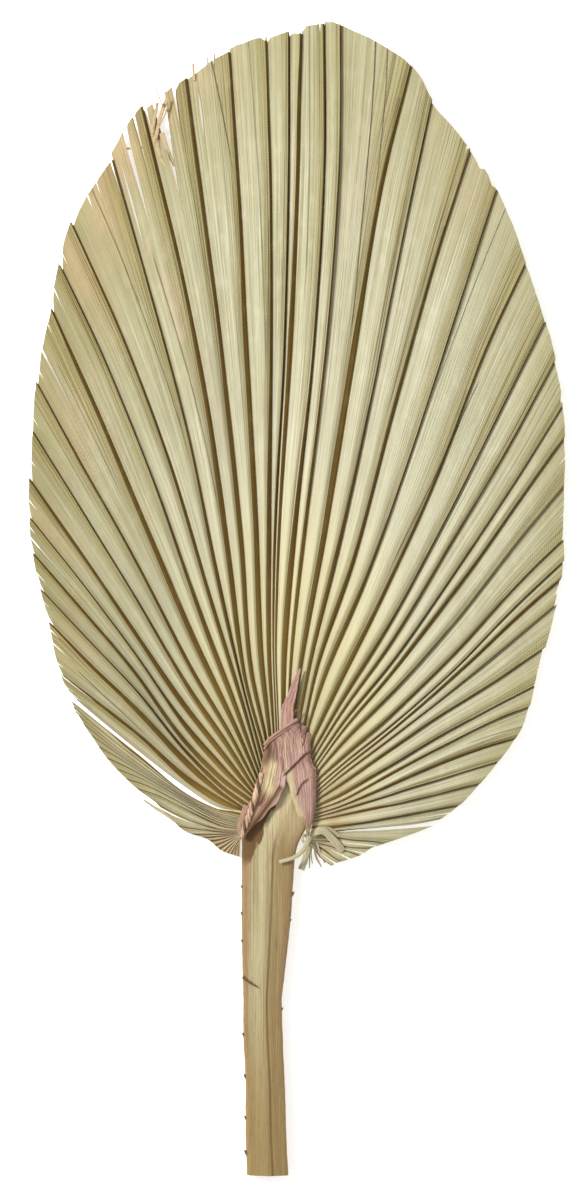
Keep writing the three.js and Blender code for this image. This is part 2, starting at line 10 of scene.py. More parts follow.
import bpy
import numpy as np
from bpy.props import FloatProperty, FloatVectorProperty, PointerProperty
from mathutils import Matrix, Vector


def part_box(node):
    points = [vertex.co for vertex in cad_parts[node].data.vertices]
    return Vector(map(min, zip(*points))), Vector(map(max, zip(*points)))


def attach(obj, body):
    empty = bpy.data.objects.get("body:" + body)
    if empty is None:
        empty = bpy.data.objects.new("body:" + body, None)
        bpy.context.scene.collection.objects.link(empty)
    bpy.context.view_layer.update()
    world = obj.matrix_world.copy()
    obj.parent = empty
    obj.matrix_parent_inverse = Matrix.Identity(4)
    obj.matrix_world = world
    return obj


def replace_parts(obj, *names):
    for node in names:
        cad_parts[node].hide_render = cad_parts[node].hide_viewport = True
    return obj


bl_info = {
    "name": "Fan palm leaf",
    "version": (1, 0, 0),
    "blender": (4, 5, 0),
    "location": "3D View > Sidebar > Palm Leaf",
    "description": "Builds a dried fan palm leaf: pleated blade, stalk and papery flap",
    "category": "Mesh",
}

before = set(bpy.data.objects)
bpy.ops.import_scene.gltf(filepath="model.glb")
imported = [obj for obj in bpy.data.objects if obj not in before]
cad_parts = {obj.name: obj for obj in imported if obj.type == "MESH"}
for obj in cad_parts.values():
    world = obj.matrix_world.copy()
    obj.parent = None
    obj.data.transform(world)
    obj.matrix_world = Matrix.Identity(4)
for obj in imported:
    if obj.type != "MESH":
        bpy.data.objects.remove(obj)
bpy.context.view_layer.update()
STALK_BOX = [np.array(corner) * 1000 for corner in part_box("petiole")]
# Where the plan has the stalk's right edge and its cut end, and what carries the plan to the frame
STALK_RIGHT, STALK_END = 5.5, -250
TO_FRAME = np.array([STALK_BOX[1][0] - STALK_RIGHT, STALK_BOX[0][1] - STALK_END, STALK_BOX[0][2]])

# Plan

# Millimetres a picture pixel, and the pixels of the plan's origin and of the joint
PIXEL = 0.434
ORIGIN_PIXEL = (296.5, 598)
JOINT_PIXEL = (285, 770)

# Where along a fold, from the stalk to the rim, the points of a guide lie
STATIONS = np.array([0, 0.12, 0.3, 0.55, 0.8, 1])

# Guide folds, anticlockwise end first
LEFT_LOBE = np.array([
    [[-23.2, -103.5], [-24.2, -105], [-24.5, -106.5], [-24.5, -108.5], [-24.5, -110.5], [-24.5, -112.5]],
    [[-23.4, -103.5], [-24.6, -104.5], [-25.5, -106], [-26.5, -108], [-27.5, -110], [-28, -111.5]],
    [[-23.4, -102.6], [-25.6, -103.8], [-27, -105], [-29, -106.5], [-31, -108], [-33, -109.5]],
    [[-23.5, -102.2], [-26.4, -102.8], [-29.5, -103.5], [-32.5, -104], [-36, -104.5], [-39, -104.5]],
    [[-23.5, -101.6], [-28, -101.8], [-33, -102], [-39, -101.5], [-45, -101], [-49.5, -100.5]],
    [[-23.6, -100.8], [-30, -100.8], [-37, -99.5], [-46, -96.5], [-54.5, -92.5], [-61, -89]],
    [[-23.8, -99.8], [-31.3, -98.8], [-40, -95.5], [-50.5, -90], [-61.5, -84.5], [-71, -81.5]],
    [[-24, -98], [-32.8, -95.8], [-43.5, -90.5], [-57.5, -82.5], [-71.5, -74.5], [-83, -69]],
    [[-24, -96.2], [-34.8, -93.4], [-48, -86.5], [-65, -75.5], [-81.5, -63], [-94, -52.5]],
    [[-24, -93.8], [-35.8, -90.9], [-50, -83.5], [-67.5, -69], [-85, -55], [-98.5, -44]],
])
MAIN_FAN = np.array([
    [[-24, -92.3], [-35.3, -90.2], [-48.5, -82], [-66.5, -68.3], [-83.5, -54.5], [-96.5, -43.5]],
    [[-24.5, -91], [-34.5, -85.5], [-49, -76], [-67, -60], [-86, -45], [-103, -32.5]],
    [[-23, -90.5], [-34, -82.5], [-48.5, -69], [-67.5, -49], [-87.5, -30], [-108, -9.5]],
    [[-19.5, -87], [-32.5, -77], [-50, -59], [-70.5, -31], [-93, -4.5], [-115, 20.5]],
    [[-18, -84.5], [-30, -68.5], [-48.5, -45], [-72, -11], [-95.5, 23.5], [-116, 52.5]],
    [[-17, -80.5], [-28, -59], [-46, -28.5], [-69, 15.5], [-93.5, 59], [-113.5, 95]],
    [[-16.5, -77.5], [-27, -52.5], [-44, -16], [-66, 35], [-88, 86.5], [-107, 127.5]],
    [[-16, -70.5], [-24, -41.5], [-37, 1], [-55, 60], [-77, 118], [-98.5, 165]],
    [[-15, -67], [-23.5, -36.5], [-33.5, 9], [-47, 72.5], [-64, 135.5], [-80.5, 193.5]],
    [[-14, -63.5], [-22, -32.5], [-28, 15.5], [-37.5, 82], [-50.5, 147.5], [-66.5, 213]],
    [[-13, -59.5], [-19.5, -26], [-23, 25.5], [-30.5, 97], [-39.5, 168], [-47.5, 227.5]],
    [[-11, -57], [-14.5, -21.5], [-16.5, 31.5], [-20.5, 105], [-24.5, 179], [-29, 239.5]],
    [[-9.5, -56], [-11, -20.5], [-11, 33.5], [-10.5, 108], [-11, 182.5], [-13, 245]],
    [[-7.5, -55.5], [-8.5, -19.5], [-6.5, 35], [-1.5, 110.5], [1.5, 186], [2.5, 248.5]],
    [[-3.5, -56.5], [-1, -20], [5, 34.5], [13.5, 110.5], [19, 186.5], [19.5, 248.5]],
    [[-1.5, -57], [3.5, -22], [13, 29.5], [24.5, 102], [35.5, 174], [48.5, 232]],
    [[1, -57.5], [7.5, -24.5], [19.5, 24.5], [34, 93], [47.5, 161.5], [59, 216]],
    [[3, -59.5], [10, -28.5], [25.5, 16.5], [42.5, 80], [60, 144], [76, 195.5]],
    [[4, -61.5], [13.5, -33], [31, 9], [52, 69], [71.5, 129], [87.5, 178.5]],
    [[6, -65], [18, -40], [36.5, -3], [60.5, 50], [81, 103.5], [100, 146]],
    [[7, -70.5], [20, -50], [41.5, -20], [67.5, 23.5], [93.5, 67.5], [112.5, 103.5]],
    [[7.5, -75.5], [20.5, -58], [42, -33], [70, 3.5], [96, 40.5], [117, 70.5]],
    [[7.5, -81], [21, -69], [42, -51], [69, -24.5], [94, 3.5], [116, 25.5]],
    [[7.5, -85.5], [20.5, -74.5], [40.5, -59], [67.5, -36], [93.5, -11.5], [115.5, 8.5]],
    [[7.5, -89], [19.5, -81.5], [37.5, -69], [62, -52], [87.5, -36], [108, -21.5]],
    [[7.5, -92.5], [19.5, -88.5], [36, -80], [58.5, -67.5], [81.5, -55.5], [101.5, -47]],
    [[7.5, -94.5], [18.5, -91], [34, -85], [55.5, -75.5], [77.5, -67], [95.5, -61]],
    [[7.5, -97], [16, -95.5], [29.5, -93], [47.5, -89], [65.5, -84.5], [80, -80.5]],
    [[7, -100], [15, -100], [26.5, -98.5], [42.5, -95.5], [58, -92.5], [71, -90]],
    [[6.5, -102], [13.5, -101.6], [23.5, -100.8], [37.5, -99.6], [51.5, -98.3], [62.3, -96.2]],
])
RIGHT_LOBE = np.array([
    [[6.5, -103], [13, -102.5], [22.5, -101.5], [36, -101], [49.5, -100], [60, -99]],
    [[6.5, -104], [10, -104], [16, -104], [24, -105], [32, -105.5], [38.5, -106.5]],
    [[6, -105], [9, -105.5], [14, -106], [20.5, -108], [27, -108.5], [32.5, -108.5]],
    [[6, -106], [8.5, -106.5], [12.5, -107.5], [17.5, -109], [23, -110.5], [27, -112]],
    [[5.5, -106.5], [7, -107], [10, -108.5], [13, -110.5], [16.5, -113], [19.5, -114.5]],
    [[5, -107], [6, -108], [8, -109.5], [10, -112.5], [12.5, -114.5], [15, -116.5]],
])

# Each fan: its guides, the share of a fold's length at its inner edge, where its valley folds lie
# between the guides, and its slits as (place, from share, to share, widest opening)
FANS = {
    "left_lobe": (LEFT_LOBE, 0, [
        0, 0.35, 0.7, 1.05, 1.4, 1.75, 2.1, 2.45, 2.8, 3.2, 3.6, 4.2, 5, 5.9, 6.3, 6.65, 7, 7.3, 7.6, 7.9,
        8.2, 8.5, 9,
    ], [(4.72, 0.5, 1, 2.6), (8.4, 0.9, 1, 0.8)]),
    "main_fan": (MAIN_FAN, -0.01, [
        0, 1, 2, 2.5, 3, 3.5, 4, 4.5, 5, 6, 6.5, 7, 8, 9, 10, 11, 12, 12.65, 13, 13.63, 14, 15.08, 16,
        17, 18, 19, 19.6, 20, 20.6, 21, 21.45, 22, 22.5, 23, 23.4, 24, 24.6, 25, 26, 26.5, 27, 28, 29,
    ], [
        (0.35, 0.86, 1, 1.0), (0.93, 0.8, 1, 1.2), (3.2, 0.82, 1, 1.1), (5.42, 0.85, 1, 1.1),
        (6.2, 0.94, 1, 0.9), (7.4, 0.97, 1, 0.9), (7.95, 0.94, 1, 0.9), (8.14, 0.85, 0.97, 1.0),
        (8.42, 0.87, 1, 3.2), (8.74, 0.94, 1, 1.2), (9.35, 0.87, 1, 7), (9.68, 0.94, 1, 1.4),
        (10.2, 0.9, 0.97, 0.9), (21.2, 0.97, 1, 0.9), (28.4, 0.68, 1, 1.1),
    ]),
    "right_lobe": (RIGHT_LOBE, 0, [0, 1, 2, 3, 4, 5], [
        (1.4, 0.36, 1, 1.0), (2.6, 0.36, 1, 1.0), (3.45, 0.36, 1, 0.9), (4.4, 0.36, 1, 0.9),
    ]),
}
# More short slits at the rim: place, from share, widest opening
RIM_SLITS = [
    (0.6, 0.93, 0.6), (1.25, 0.96, 0.7), (1.62, 0.9, 0.8), (1.85, 0.955, 0.9), (2.3, 0.965, 0.6),
    (2.72, 0.95, 0.8), (3.35, 0.97, 0.7), (3.72, 0.96, 0.8), (4.2, 0.975, 0.7), (4.62, 0.955, 0.5),
    (5.15, 0.97, 0.6), (5.78, 0.975, 0.5), (6.62, 0.97, 0.6), (7.6, 0.96, 0.4), (9.05, 0.95, 0.8),
    (10.6, 0.98, 0.5), (13.5, 0.985, 0.4), (16.9, 0.985, 0.5), (19.3, 0.985, 0.4), (21.7, 0.98, 0.5),
    (23.2, 0.98, 0.6), (24.3, 0.985, 0.5), (27.5, 0.97, 0.5),
]
# Share of a fold's length up to which a fan holds on to the next one, and from which it is free
SEAMS = [(0.04, 0.1), (0.17, 0.28)]
# Where the blade comes down to the floor: a place between the guides, a share of the length
LOW_POINTS = [(7, 0.8), (19, 0.8)]
# How high the valley folds lie elsewhere, how much higher at the joint, and the rim's wave
VALLEY_HEIGHT, HUB_LIFT, RIM_WAVE = 1, 2.8, 1.5
# At the rim, in shares of a fold's length: how unevenly the pleats are trimmed, how ragged their
# ends are, how far single fibres stop short, and how deep the notches beside the folds are
TRIM, RAGGED, SHORT_FIBRE, NOTCH = 0.007, 0.0011, 0.006, 0.009
# Where the mesh rows lie along a fold, closest together at the rim
SHARES = np.unique(np.round(np.concatenate([
    np.linspace(0, 0.1, 7), np.linspace(0.1, 0.8, 44), np.linspace(0.8, 0.96, 20), np.linspace(0.96, 1, 9),
]), 5))
# Where a pleat has its crest and the top of its shaded side on the columns' scale from 0 to 1
CREST, SHADED_TOP = 0.54, 0.84
# Where the mesh columns lie across a pleat
ACROSS = [0, 0.02, 0.18, 0.38, CREST, 0.64, 0.75, SHADED_TOP, 0.88, 0.935, 0.985]
# The share of a fold's length at which the blade's map is measured across
MAP_SHARE = 0.8
# What the lobes hold as their place between guides, where the main fan has no crease
LOBE_PLACE = -9
# How broad the shaded side is: the usual value, and some folds that differ. Narrow ones show as
# thin lines
USUAL_BREADTH = 0.7
BREADTHS = {
    0: 0.8, 1: 0.7, 2: 1.2, 2.5: 0.4, 3: 1.0, 3.5: 0.45, 4: 1.1, 4.5: 0.5, 5: 0.8, 6: 1.35,
    6.5: 0.4, 7: 0.8, 8: 0.55, 9: 1.25, 10: 1.5, 11: 1.3, 12: 0.55, 12.65: 0.3, 13: 1.05,
    13.63: 0.35, 14: 0.55, 15.08: 1.35, 16: 0.42, 17: 0.85, 18: 0.3, 19: 0.85, 19.6: 0.4, 20: 0.75,
    20.6: 0.45, 21: 0.85, 21.45: 0.45, 22: 0.85, 22.5: 0.45, 23: 1.0, 23.4: 0.45, 24: 0.9,
    24.6: 0.5, 25: 0.8, 26: 0.9, 26.5: 0.5, 27: 0.9, 28: 0.6, 29: 0.5,
}

# The stalk's sections: Y, left edge, right edge, and the height of its underside
STALK_SECTIONS = np.array([
    [-250, -21.5, -3.5, 0.7], [-232, -22, -4.5, 0.4], [-211, -22, -5, 0], [-190, -23, -6, 0],
    [-174.5, -23, -6.5, 0.3], [-159, -23.5, -4.6, 0.5], [-138, -23.7, -2.4, 0.7],
    [-122.5, -23.7, -1.4, 0.8], [-114.5, -23.7, -0.8, 0.9], [-109.5, -23.5, -0.3, 0.9],
    [-105, -23.5, 1.2, 1], [-100, -23.3, 4.3, 1], [-94, -22.6, 5, 1], [-91.5, -19.7, 5.4, 1],
    [-87.5, -16.3, 5.5, 1], [-81, -14, 5.5, 1], [-74.5, -12, 4.5, 1], [-69.5, -10.5, 3, 1],
    [-65.5, -9, 0.5, 1], [-63, -6.5, -2.5, 1],
])
# A section's outline from lower right to lower left: across from -1 to 1, up from 0 to 1
STALK_PROFILE = np.array([
    [0.62, 0.16], [0.93, 0.42], [1, 0.6], [0.9, 0.78], [0.55, 0.88], [0.12, 1],
    [-0.35, 0.9], [-0.8, 0.82], [-1, 0.6], [-0.93, 0.42], [-0.62, 0.16],
])
# The stalk's height, and its height at the end of its head
STALK_HEIGHTS = (8.0, 6.0)
# Spines: place along the stalk and size
LEFT_SPINES = [
    (-125.5, 0.6), (-137, 0.65), (-149, 0.6), (-189.5, 0.75), (-207.5, 0.8), (-225.5, 0.7), (-240.5, 0.95),
]
RIGHT_SPINES = [(-128.5, 0.85), (-140, 0.5), (-178.5, 0.65)]
# How far inside the stalk's edge a spine starts, and the heights of its root and its tip
SPINE_DEPTH, SPINE_ROOT, SPINE_TIP = 1.1, 4.8, 5.1

# The flap from its top edge to its lower ends: outer left, inner left, inner right, outer right
FLAP_ROWS = np.array([
    [[-13, -62.5], [-6, -58.2], [-6, -58.2], [1, -54]],
    [[-14, -66], [-4.3, -61.8], [-4.3, -61.8], [5.5, -57.5]],
    [[-15, -69.5], [-4.3, -66.8], [-4.3, -66.8], [6.5, -64]],
    [[-15.5, -73], [-3.5, -71], [-3.5, -71], [8.5, -69]],
    [[-16.5, -77], [-4.5, -77.5], [-4.5, -77.5], [8.5, -74]],
    [[-17.3, -80.5], [-5, -81], [-3.5, -80.5], [8.5, -79]],
    [[-18.5, -84], [-6.5, -84], [-2.5, -84], [8.5, -84]],
    [[-19.8, -87], [-8.5, -88.5], [-1.5, -87.5], [8.5, -89]],
    [[-21.5, -90.2], [-11.5, -91], [-0.5, -91], [8, -93]],
    [[-22.6, -93.8], [-14.5, -95], [0.5, -93.5], [7.5, -96]],
    [[-23.5, -97.4], [-17.5, -97.5], [3, -96.5], [6.5, -98.5]],
    [[-24.4, -100.6], [-20.5, -100.5], [4, -100], [5.8, -101.5]],
    [[-24.5, -103], [-22.5, -103.5], [4.3, -102], [5.4, -103]],
])
FLAP_PARTING = 4  # the row at which the flap parts in two
# The height that the flap's pieces are set from, the flap's thickness, how far its outer edges
# droop, and the lowest and highest that its lower face may lie
FLAP_HEIGHT = 8.5
FLAP_THICKNESS = 0.45
EDGE_DROOP = 2.3
FLAP_RANGE = (6.2, 11.3)
# Millimetres between the flap's columns in its map
FLAP_COLUMN = 0.37

# Narrow pieces: centre line, widths at its two ends, how far its section arches, thickness
TORN_STRIPS = [
    ([[-48, -99.4, 2], [-52, -96.8, 2.2], [-58, -93, 2], [-62, -90.8, 1.6], [-66.4, -87.7, 1]],
     (2.6, 0.6), 0.2, 0.5),
    ([[9, -103.6, 4], [6, -103.4, 5.2], [4.6, -105.6, 7.2], [2.8, -109, 8.6], [-1, -112, 8.8],
      [-7.5, -114, 8.6]], (2.6, 1.5), 0.25, 0.4),
    ([[9, -104.6, 3.2], [5.8, -105, 3.6], [4.8, -109, 3.4], [3.6, -114, 2.2], [2, -118, 1.2]],
     (2.0, 2.9), 0.3, 0.4),
    ([[8, -105.8, 3.2], [6, -109, 2.6], [5.6, -117.5, 0.8]], (1.0, 0.5), 0.1, 0.35),
    ([[8, -106.5, 2.6], [8.4, -112, 1.4], [10.8, -117, 0.3]], (1.2, 0.7), 0.15, 0.35),
    ([[7, -105, 3.6], [6.4, -111, 2.6], [6.9, -115.5, 1.4]], (0.7, 0.4), 0.1, 0.3),
    ([[8.6, -105, 3.4], [10, -110, 2.6], [12.4, -115.2, 1.0]], (1.0, 0.8), 0.1, 0.3),
    ([[5, -103.5, 5.6], [9, -101.2, 6.6], [12.5, -101.4, 6.2], [17, -106, 4.4], [20, -110, 2.8]],
     (2.2, 3.6), 0.35, 0.45),
    ([[5.4, -102.8, 5.2], [9, -100, 5.6], [13.5, -99.8, 4.6], [18.5, -103.2, 3.2]], (1.6, 1.6), 0.3, 0.4),
    ([[5.2, -104.4, 4.6], [3.4, -102.6, 6.4], [2.6, -104.8, 7.4], [4.2, -106.4, 6.6]], (1.2, 0.9), 0.2, 0.35),
]
FRAYED_TIPS = [
    ([[-57.5, 186, 2.2], [-60.5, 197, 3.6], [-62.6, 205.5, 4.4]], (1.3, 2.3), 0.15, 0.4),
    ([[-62.5, 200, 4.2], [-61.6, 207, 5.2], [-60.2, 214.5, 5.4]], (1.0, 1.2), 0.1, 0.4),
    ([[-61, 199, 4.8], [-59, 208, 6], [-56, 216.5, 5.4]], (1.3, 1.9), 0.15, 0.4),
    ([[-60, 203, 6.2], [-57, 209, 6.8], [-54.9, 215.6, 6.6]], (0.6, 0.7), 0.05, 0.35),
    ([[-62.2, 200, 3.4], [-58.6, 190.5, 3.2], [-55.4, 185.4, 2.6]], (1.4, 1.1), 0.15, 0.4),
    ([[-58.4, 201.5, 4.6], [-56, 194.5, 3.8], [-52.9, 187.6, 2.4]], (2.4, 1.4), 0.15, 0.4),
    ([[-53.8, 214.8, 4.2], [-54, 208, 4], [-53.4, 201.5, 2.8]], (1.2, 0.8), 0.1, 0.35),
    ([[-56.6, 210.5, 6.8], [-59, 215.5, 7.4], [-60.8, 220.3, 7.8]], (0.45, 0.3), 0.05, 0.3),
    ([[-74, 195, 2.6], [-69, 195.3, 3.4], [-64.5, 195.5, 3.0]], (0.9, 0.9), 0.1, 0.4),
    ([[-44.4, 224.5, 3.2], [-44.7, 229.5, 3.8], [-44.8, 231.8, 4]], (1.1, 0.9), 0.05, 0.4),
    ([[-38.4, 227.5, 3.0], [-38.5, 234.6, 3.4]], (0.8, 0.6), 0.05, 0.4),
    ([[-35.5, 228.5, 3.0], [-35.6, 236, 3.4]], (0.9, 0.7), 0.05, 0.4),
]
TONGUE = ([[-3.5, -60, 0], [-4, -48.5, 0.1], [-2, -42, 0], [-0.3, -35.5, -0.2], [1.5, -30.5, -0.4]],
          (6.5, 0.9), 0.35, 0.45)
ROLLED_EDGE = [
    ([[-14, -63.6, 0.8], [-11, -60.2, 1.1], [-6, -56.7, 1.1], [0.4, -52.3, 0.9]], (1.2, 1.6), 0.7, 0.4),
    ([[-14.2, -65.2, 0.6], [-11.2, -61.6, 0.9], [-6.2, -58.2, 0.9], [-1.6, -55.2, 0.6]],
     (0.8, 0.7), 0.4, 0.4),
]
PINK_SHRED = ([[-21.5, -89.5, 0.2], [-23, -94, 0.6], [-24, -98, 0.5], [-23.6, -101.8, 0.1]],
              (2.6, 3.2), 0.5, 0.4)
# The twisted edge of the flap's left half: its centre line
ROPE = [[-15, -75.5, 0.5], [-16.5, -80.7, 0.9], [-17.8, -85.5, 1.0], [-19.3, -90.3, 1.0], [-21, -95.5, 0.8],
        [-22.8, -100.3, 0.5], [-23.6, -103.3, 0.2]]
# The curl above the flap's top corner, and the twig-like spine over the stalk: their centre lines
LOOSE_CURL = [[-0.2, -53.6, 0.8], [1.2, -51.2, 1.4], [0.9, -48.8, 1.6], [-0.6, -48.6, 1.2],
              [-1.2, -50.6, 0.8]]
TWIG = [[-23.3, -164, 5.6], [-20.5, -166, 7.2], [-17, -168, 8.2]]


# Helpers

def smoothstep(x, low, high):
    """0 below low, 1 above high, and the cubic 3t^2 - 2t^3 between them."""
    t = np.clip((x - low) / (high - low), 0, 1)
    return t * t * (3 - 2 * t)


def draw(i, j=0):
    """A repeatable draw from -1 to 1 for a pair of numbers: the broken part of a large sine."""
    v = np.sin(np.asarray(i) * 127.1 + np.asarray(j) * 311.7 + 17.3) * 43758.5453
    return 2 * (v - np.floor(v)) - 1


def softer(a, b, width):
    """The lower of a and b, with the corner between them rounded by a parabola."""
    h = np.clip(width - np.abs(a - b), 0, None) / width
    return np.minimum(a, b) - h * h * width / 4


def ripples(x, y, seed, count=5):
    """A smooth wander from about -1 to 1: a sum of sines of x and y with drawn waves."""
    total = np.zeros(np.broadcast(x, y).shape)
    for k in range(count):
        total += np.sin(x * (1 + 1.7 * k + draw(k, seed)) + y * (0.7 + k + draw(k, seed + 1))
                        + 3 * draw(k, seed + 2)) / (1 + 0.5 * k)
    return total / 2.4


def along_line(points, steps):
    """Points on the Catmull-Rom curve through a list of points, at even parameter steps."""
    p = np.asarray(points, float)
    p = np.vstack([2 * p[0] - p[1], p, 2 * p[-1] - p[-2]])
    s = np.linspace(0, len(points) - 1, steps)
    i = np.minimum(s.astype(int), len(points) - 2)
    t = (s - i)[:, None]
    a, b, c, d = p[i], p[i + 1], p[i + 2], p[i + 3]
    return 0.5 * (2 * b + (c - a) * t + (2 * a - 5 * b + 4 * c - d) * t ** 2
                  + (3 * b - a - 3 * c + d) * t ** 3)


def mesh_piece(name, vertices, quads, material, uv, attributes=None, sharp=50):
    """Makes an object from vertices in plan millimetres and quads, leaving out the vertices that
    no quad uses. Each vertex has a place in the piece's own map, in millimetres, and one number
    for each attribute. Only edges that bend by more than the angle sharp are shaded sharp."""
    used = np.zeros(len(vertices), bool)
    used[quads] = True
    quads = (np.cumsum(used) - 1)[quads]
    mesh = bpy.data.meshes.new(name)
    mesh.vertices.add(int(used.sum()))
    mesh.vertices.foreach_set("co", ((vertices[used] + TO_FRAME) / 1000).astype(np.float32).ravel())
    mesh.loops.add(quads.size)
    mesh.loops.foreach_set("vertex_index", quads.astype(np.int32).ravel())
    mesh.polygons.add(len(quads))
    mesh.polygons.foreach_set("loop_start", np.arange(0, quads.size, 4, dtype=np.int32))
    mesh.update(calc_edges=True)
    mesh.validate()
    for key, values in (attributes or {}).items():
        layer = mesh.attributes.new(key, "FLOAT", "POINT")
        layer.data.foreach_set("value", values[used].astype(np.float32))
    loops = np.empty(len(mesh.loops), np.int32)
    mesh.loops.foreach_get("vertex_index", loops)
    layer = mesh.uv_layers.new(name="grain")
    layer.data.foreach_set("uv", uv[used][loops].astype(np.float32).ravel())
    mesh.polygons.foreach_set("use_smooth", np.ones(len(mesh.polygons), bool))
    mesh.set_sharp_from_angle(angle=math.radians(sharp))
    mesh.materials.append(material)
    piece = bpy.data.objects.new(name, mesh)
    bpy.context.scene.collection.objects.link(piece)
    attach(piece, "root")
    return piece


def closed_sheet(points, index, gaps, thickness):
    """A sheet's shell: the grid's quads below, the same above at the sheet's thickness, and a
    wall along every free side. Returns the vertices, the quads and, for each vertex, its number
    in points and whether it is underneath."""
    keep = np.flatnonzero(~gaps)
    a, b = index[keep, :-1], index[keep + 1, :-1]
    d, e = index[keep, 1:], index[keep + 1, 1:]
    top = np.stack([a, b, e, d], -1).reshape(-1, 4)
    p = points[top]
    turn = ((p[:, 1, 0] - p[:, 0, 0]) * (p[:, 3, 1] - p[:, 0, 1])
            - (p[:, 1, 1] - p[:, 0, 1]) * (p[:, 3, 0] - p[:, 0, 0])).sum()
    if turn < 0:
        top = top[:, ::-1]
    n = len(points)
    sides = np.concatenate([top[:, [k, (k + 1) % 4]] for k in range(4)])
    sides = sides[sides[:, 0] != sides[:, 1]]
    free = sides[~np.isin(sides[:, 0] * n + sides[:, 1], sides[:, 1] * n + sides[:, 0])]
    walls = np.stack([free[:, 0], n + free[:, 0], n + free[:, 1], free[:, 1]], -1)
    lift = np.zeros_like(points)
    lift[:, 2] = thickness
    vertices = np.concatenate([points + lift, points])
    quads = np.concatenate([top, n + top[:, ::-1], walls])
    return vertices, quads, np.tile(np.arange(n), 2), np.repeat([0.0, 1.0], n)


def grid_index(columns, rows):
    """Vertex numbers of a grid of columns by rows."""
    return np.arange(columns * rows).reshape(columns, rows)


# A strip's length in its map, and how far apart the strips of a piece lie in it, in millimetres
STRIP_LENGTH, STRIP_SPACING = 40, 30


def ribbon(line, widths, arch, across=7, steps=40, curl=0.0):
    """A strip's lower face: its centre line is a smooth curve, its width goes evenly from one
    end's to the other's, and its section is a parabola of height arch with one side curled up."""
    path = along_line(line, steps)
    tangent = np.gradient(path, axis=0)[:, :2]
    tangent /= np.linalg.norm(tangent, axis=1)[:, None]
    s = np.linspace(0, 1, steps)
    half = (widths[0] + (widths[1] - widths[0]) * s) / 2
    t = np.linspace(-1, 1, across)[:, None]
    edge = 1 + 0.07 * draw(np.arange(steps), across)
    points = np.empty((across, steps, 3))
    points[..., 0] = path[:, 0] + tangent[:, 1] * half * edge * t
    points[..., 1] = path[:, 1] - tangent[:, 0] * half * edge * t
    curled = curl * np.clip(t, 0, 1) ** 2
    points[..., 2] = path[:, 2] + arch * (1 - t ** 2) * half / half.max() + curled
    points[..., 2] += 0.05 * np.sin(t * 9 + s * 2)
    along = np.broadcast_to(s * STRIP_LENGTH, (across, steps))
    return points, np.broadcast_to(t * half, (across, steps)), along


def ribbons(name, strips, material, lift=0.0, curl=0.0):
    """Several strips as one piece, each a closed shell of its own."""
    parts, start = [], 0
    for line, widths, arch, thickness in strips:
        points, u, v = ribbon(line, widths, arch, curl=curl)
        points[..., 2] += lift
        gaps = np.zeros(len(u) - 1, bool)
        vertices, quads, source, _ = closed_sheet(
            points.reshape(-1, 3), grid_index(*u.shape), gaps, thickness)
        uv = np.stack([u.ravel() + STRIP_SPACING * len(parts), v.ravel()], -1)[source]
        parts.append((vertices, quads + start, uv))
        start += len(vertices)
    vertices, quads, uv = (np.concatenate(column) for column in zip(*parts))
    return mesh_piece(name, vertices, quads, material, uv)


# Shader maths

class Value:
    """A number, colour or vector in a material. Python's operators on it add Math nodes."""

    def __init__(self, paint, socket):
        self.paint = paint
        self.socket = socket

    def math(self, operation, *values):
        return self.paint.add("ShaderNodeMath", {"operation": operation}, dict(enumerate(values)))

    def __add__(self, other):
        return self.math("ADD", self, other)

    def __sub__(self, other):
        return self.math("SUBTRACT", self, other)

    def __rsub__(self, other):
        return self.math("SUBTRACT", other, self)

    def __mul__(self, other):
        return self.math("MULTIPLY", self, other)

    def __truediv__(self, other):
        return self.math("DIVIDE", self, other)

    def __abs__(self):
        return self.math("ABSOLUTE", self)

    __radd__ = __add__
    __rmul__ = __mul__

    def sine(self):
        return self.math("SINE", self)

    def between(self, low, high, start=0.0, end=1.0):
        """A smooth step from start at low to end at high."""
        return self.paint.add(
            "ShaderNodeMapRange", {"interpolation_type": "SMOOTHSTEP"},
            {"Value": self, "From Min": low, "From Max": high, "To Min": start, "To Max": end})


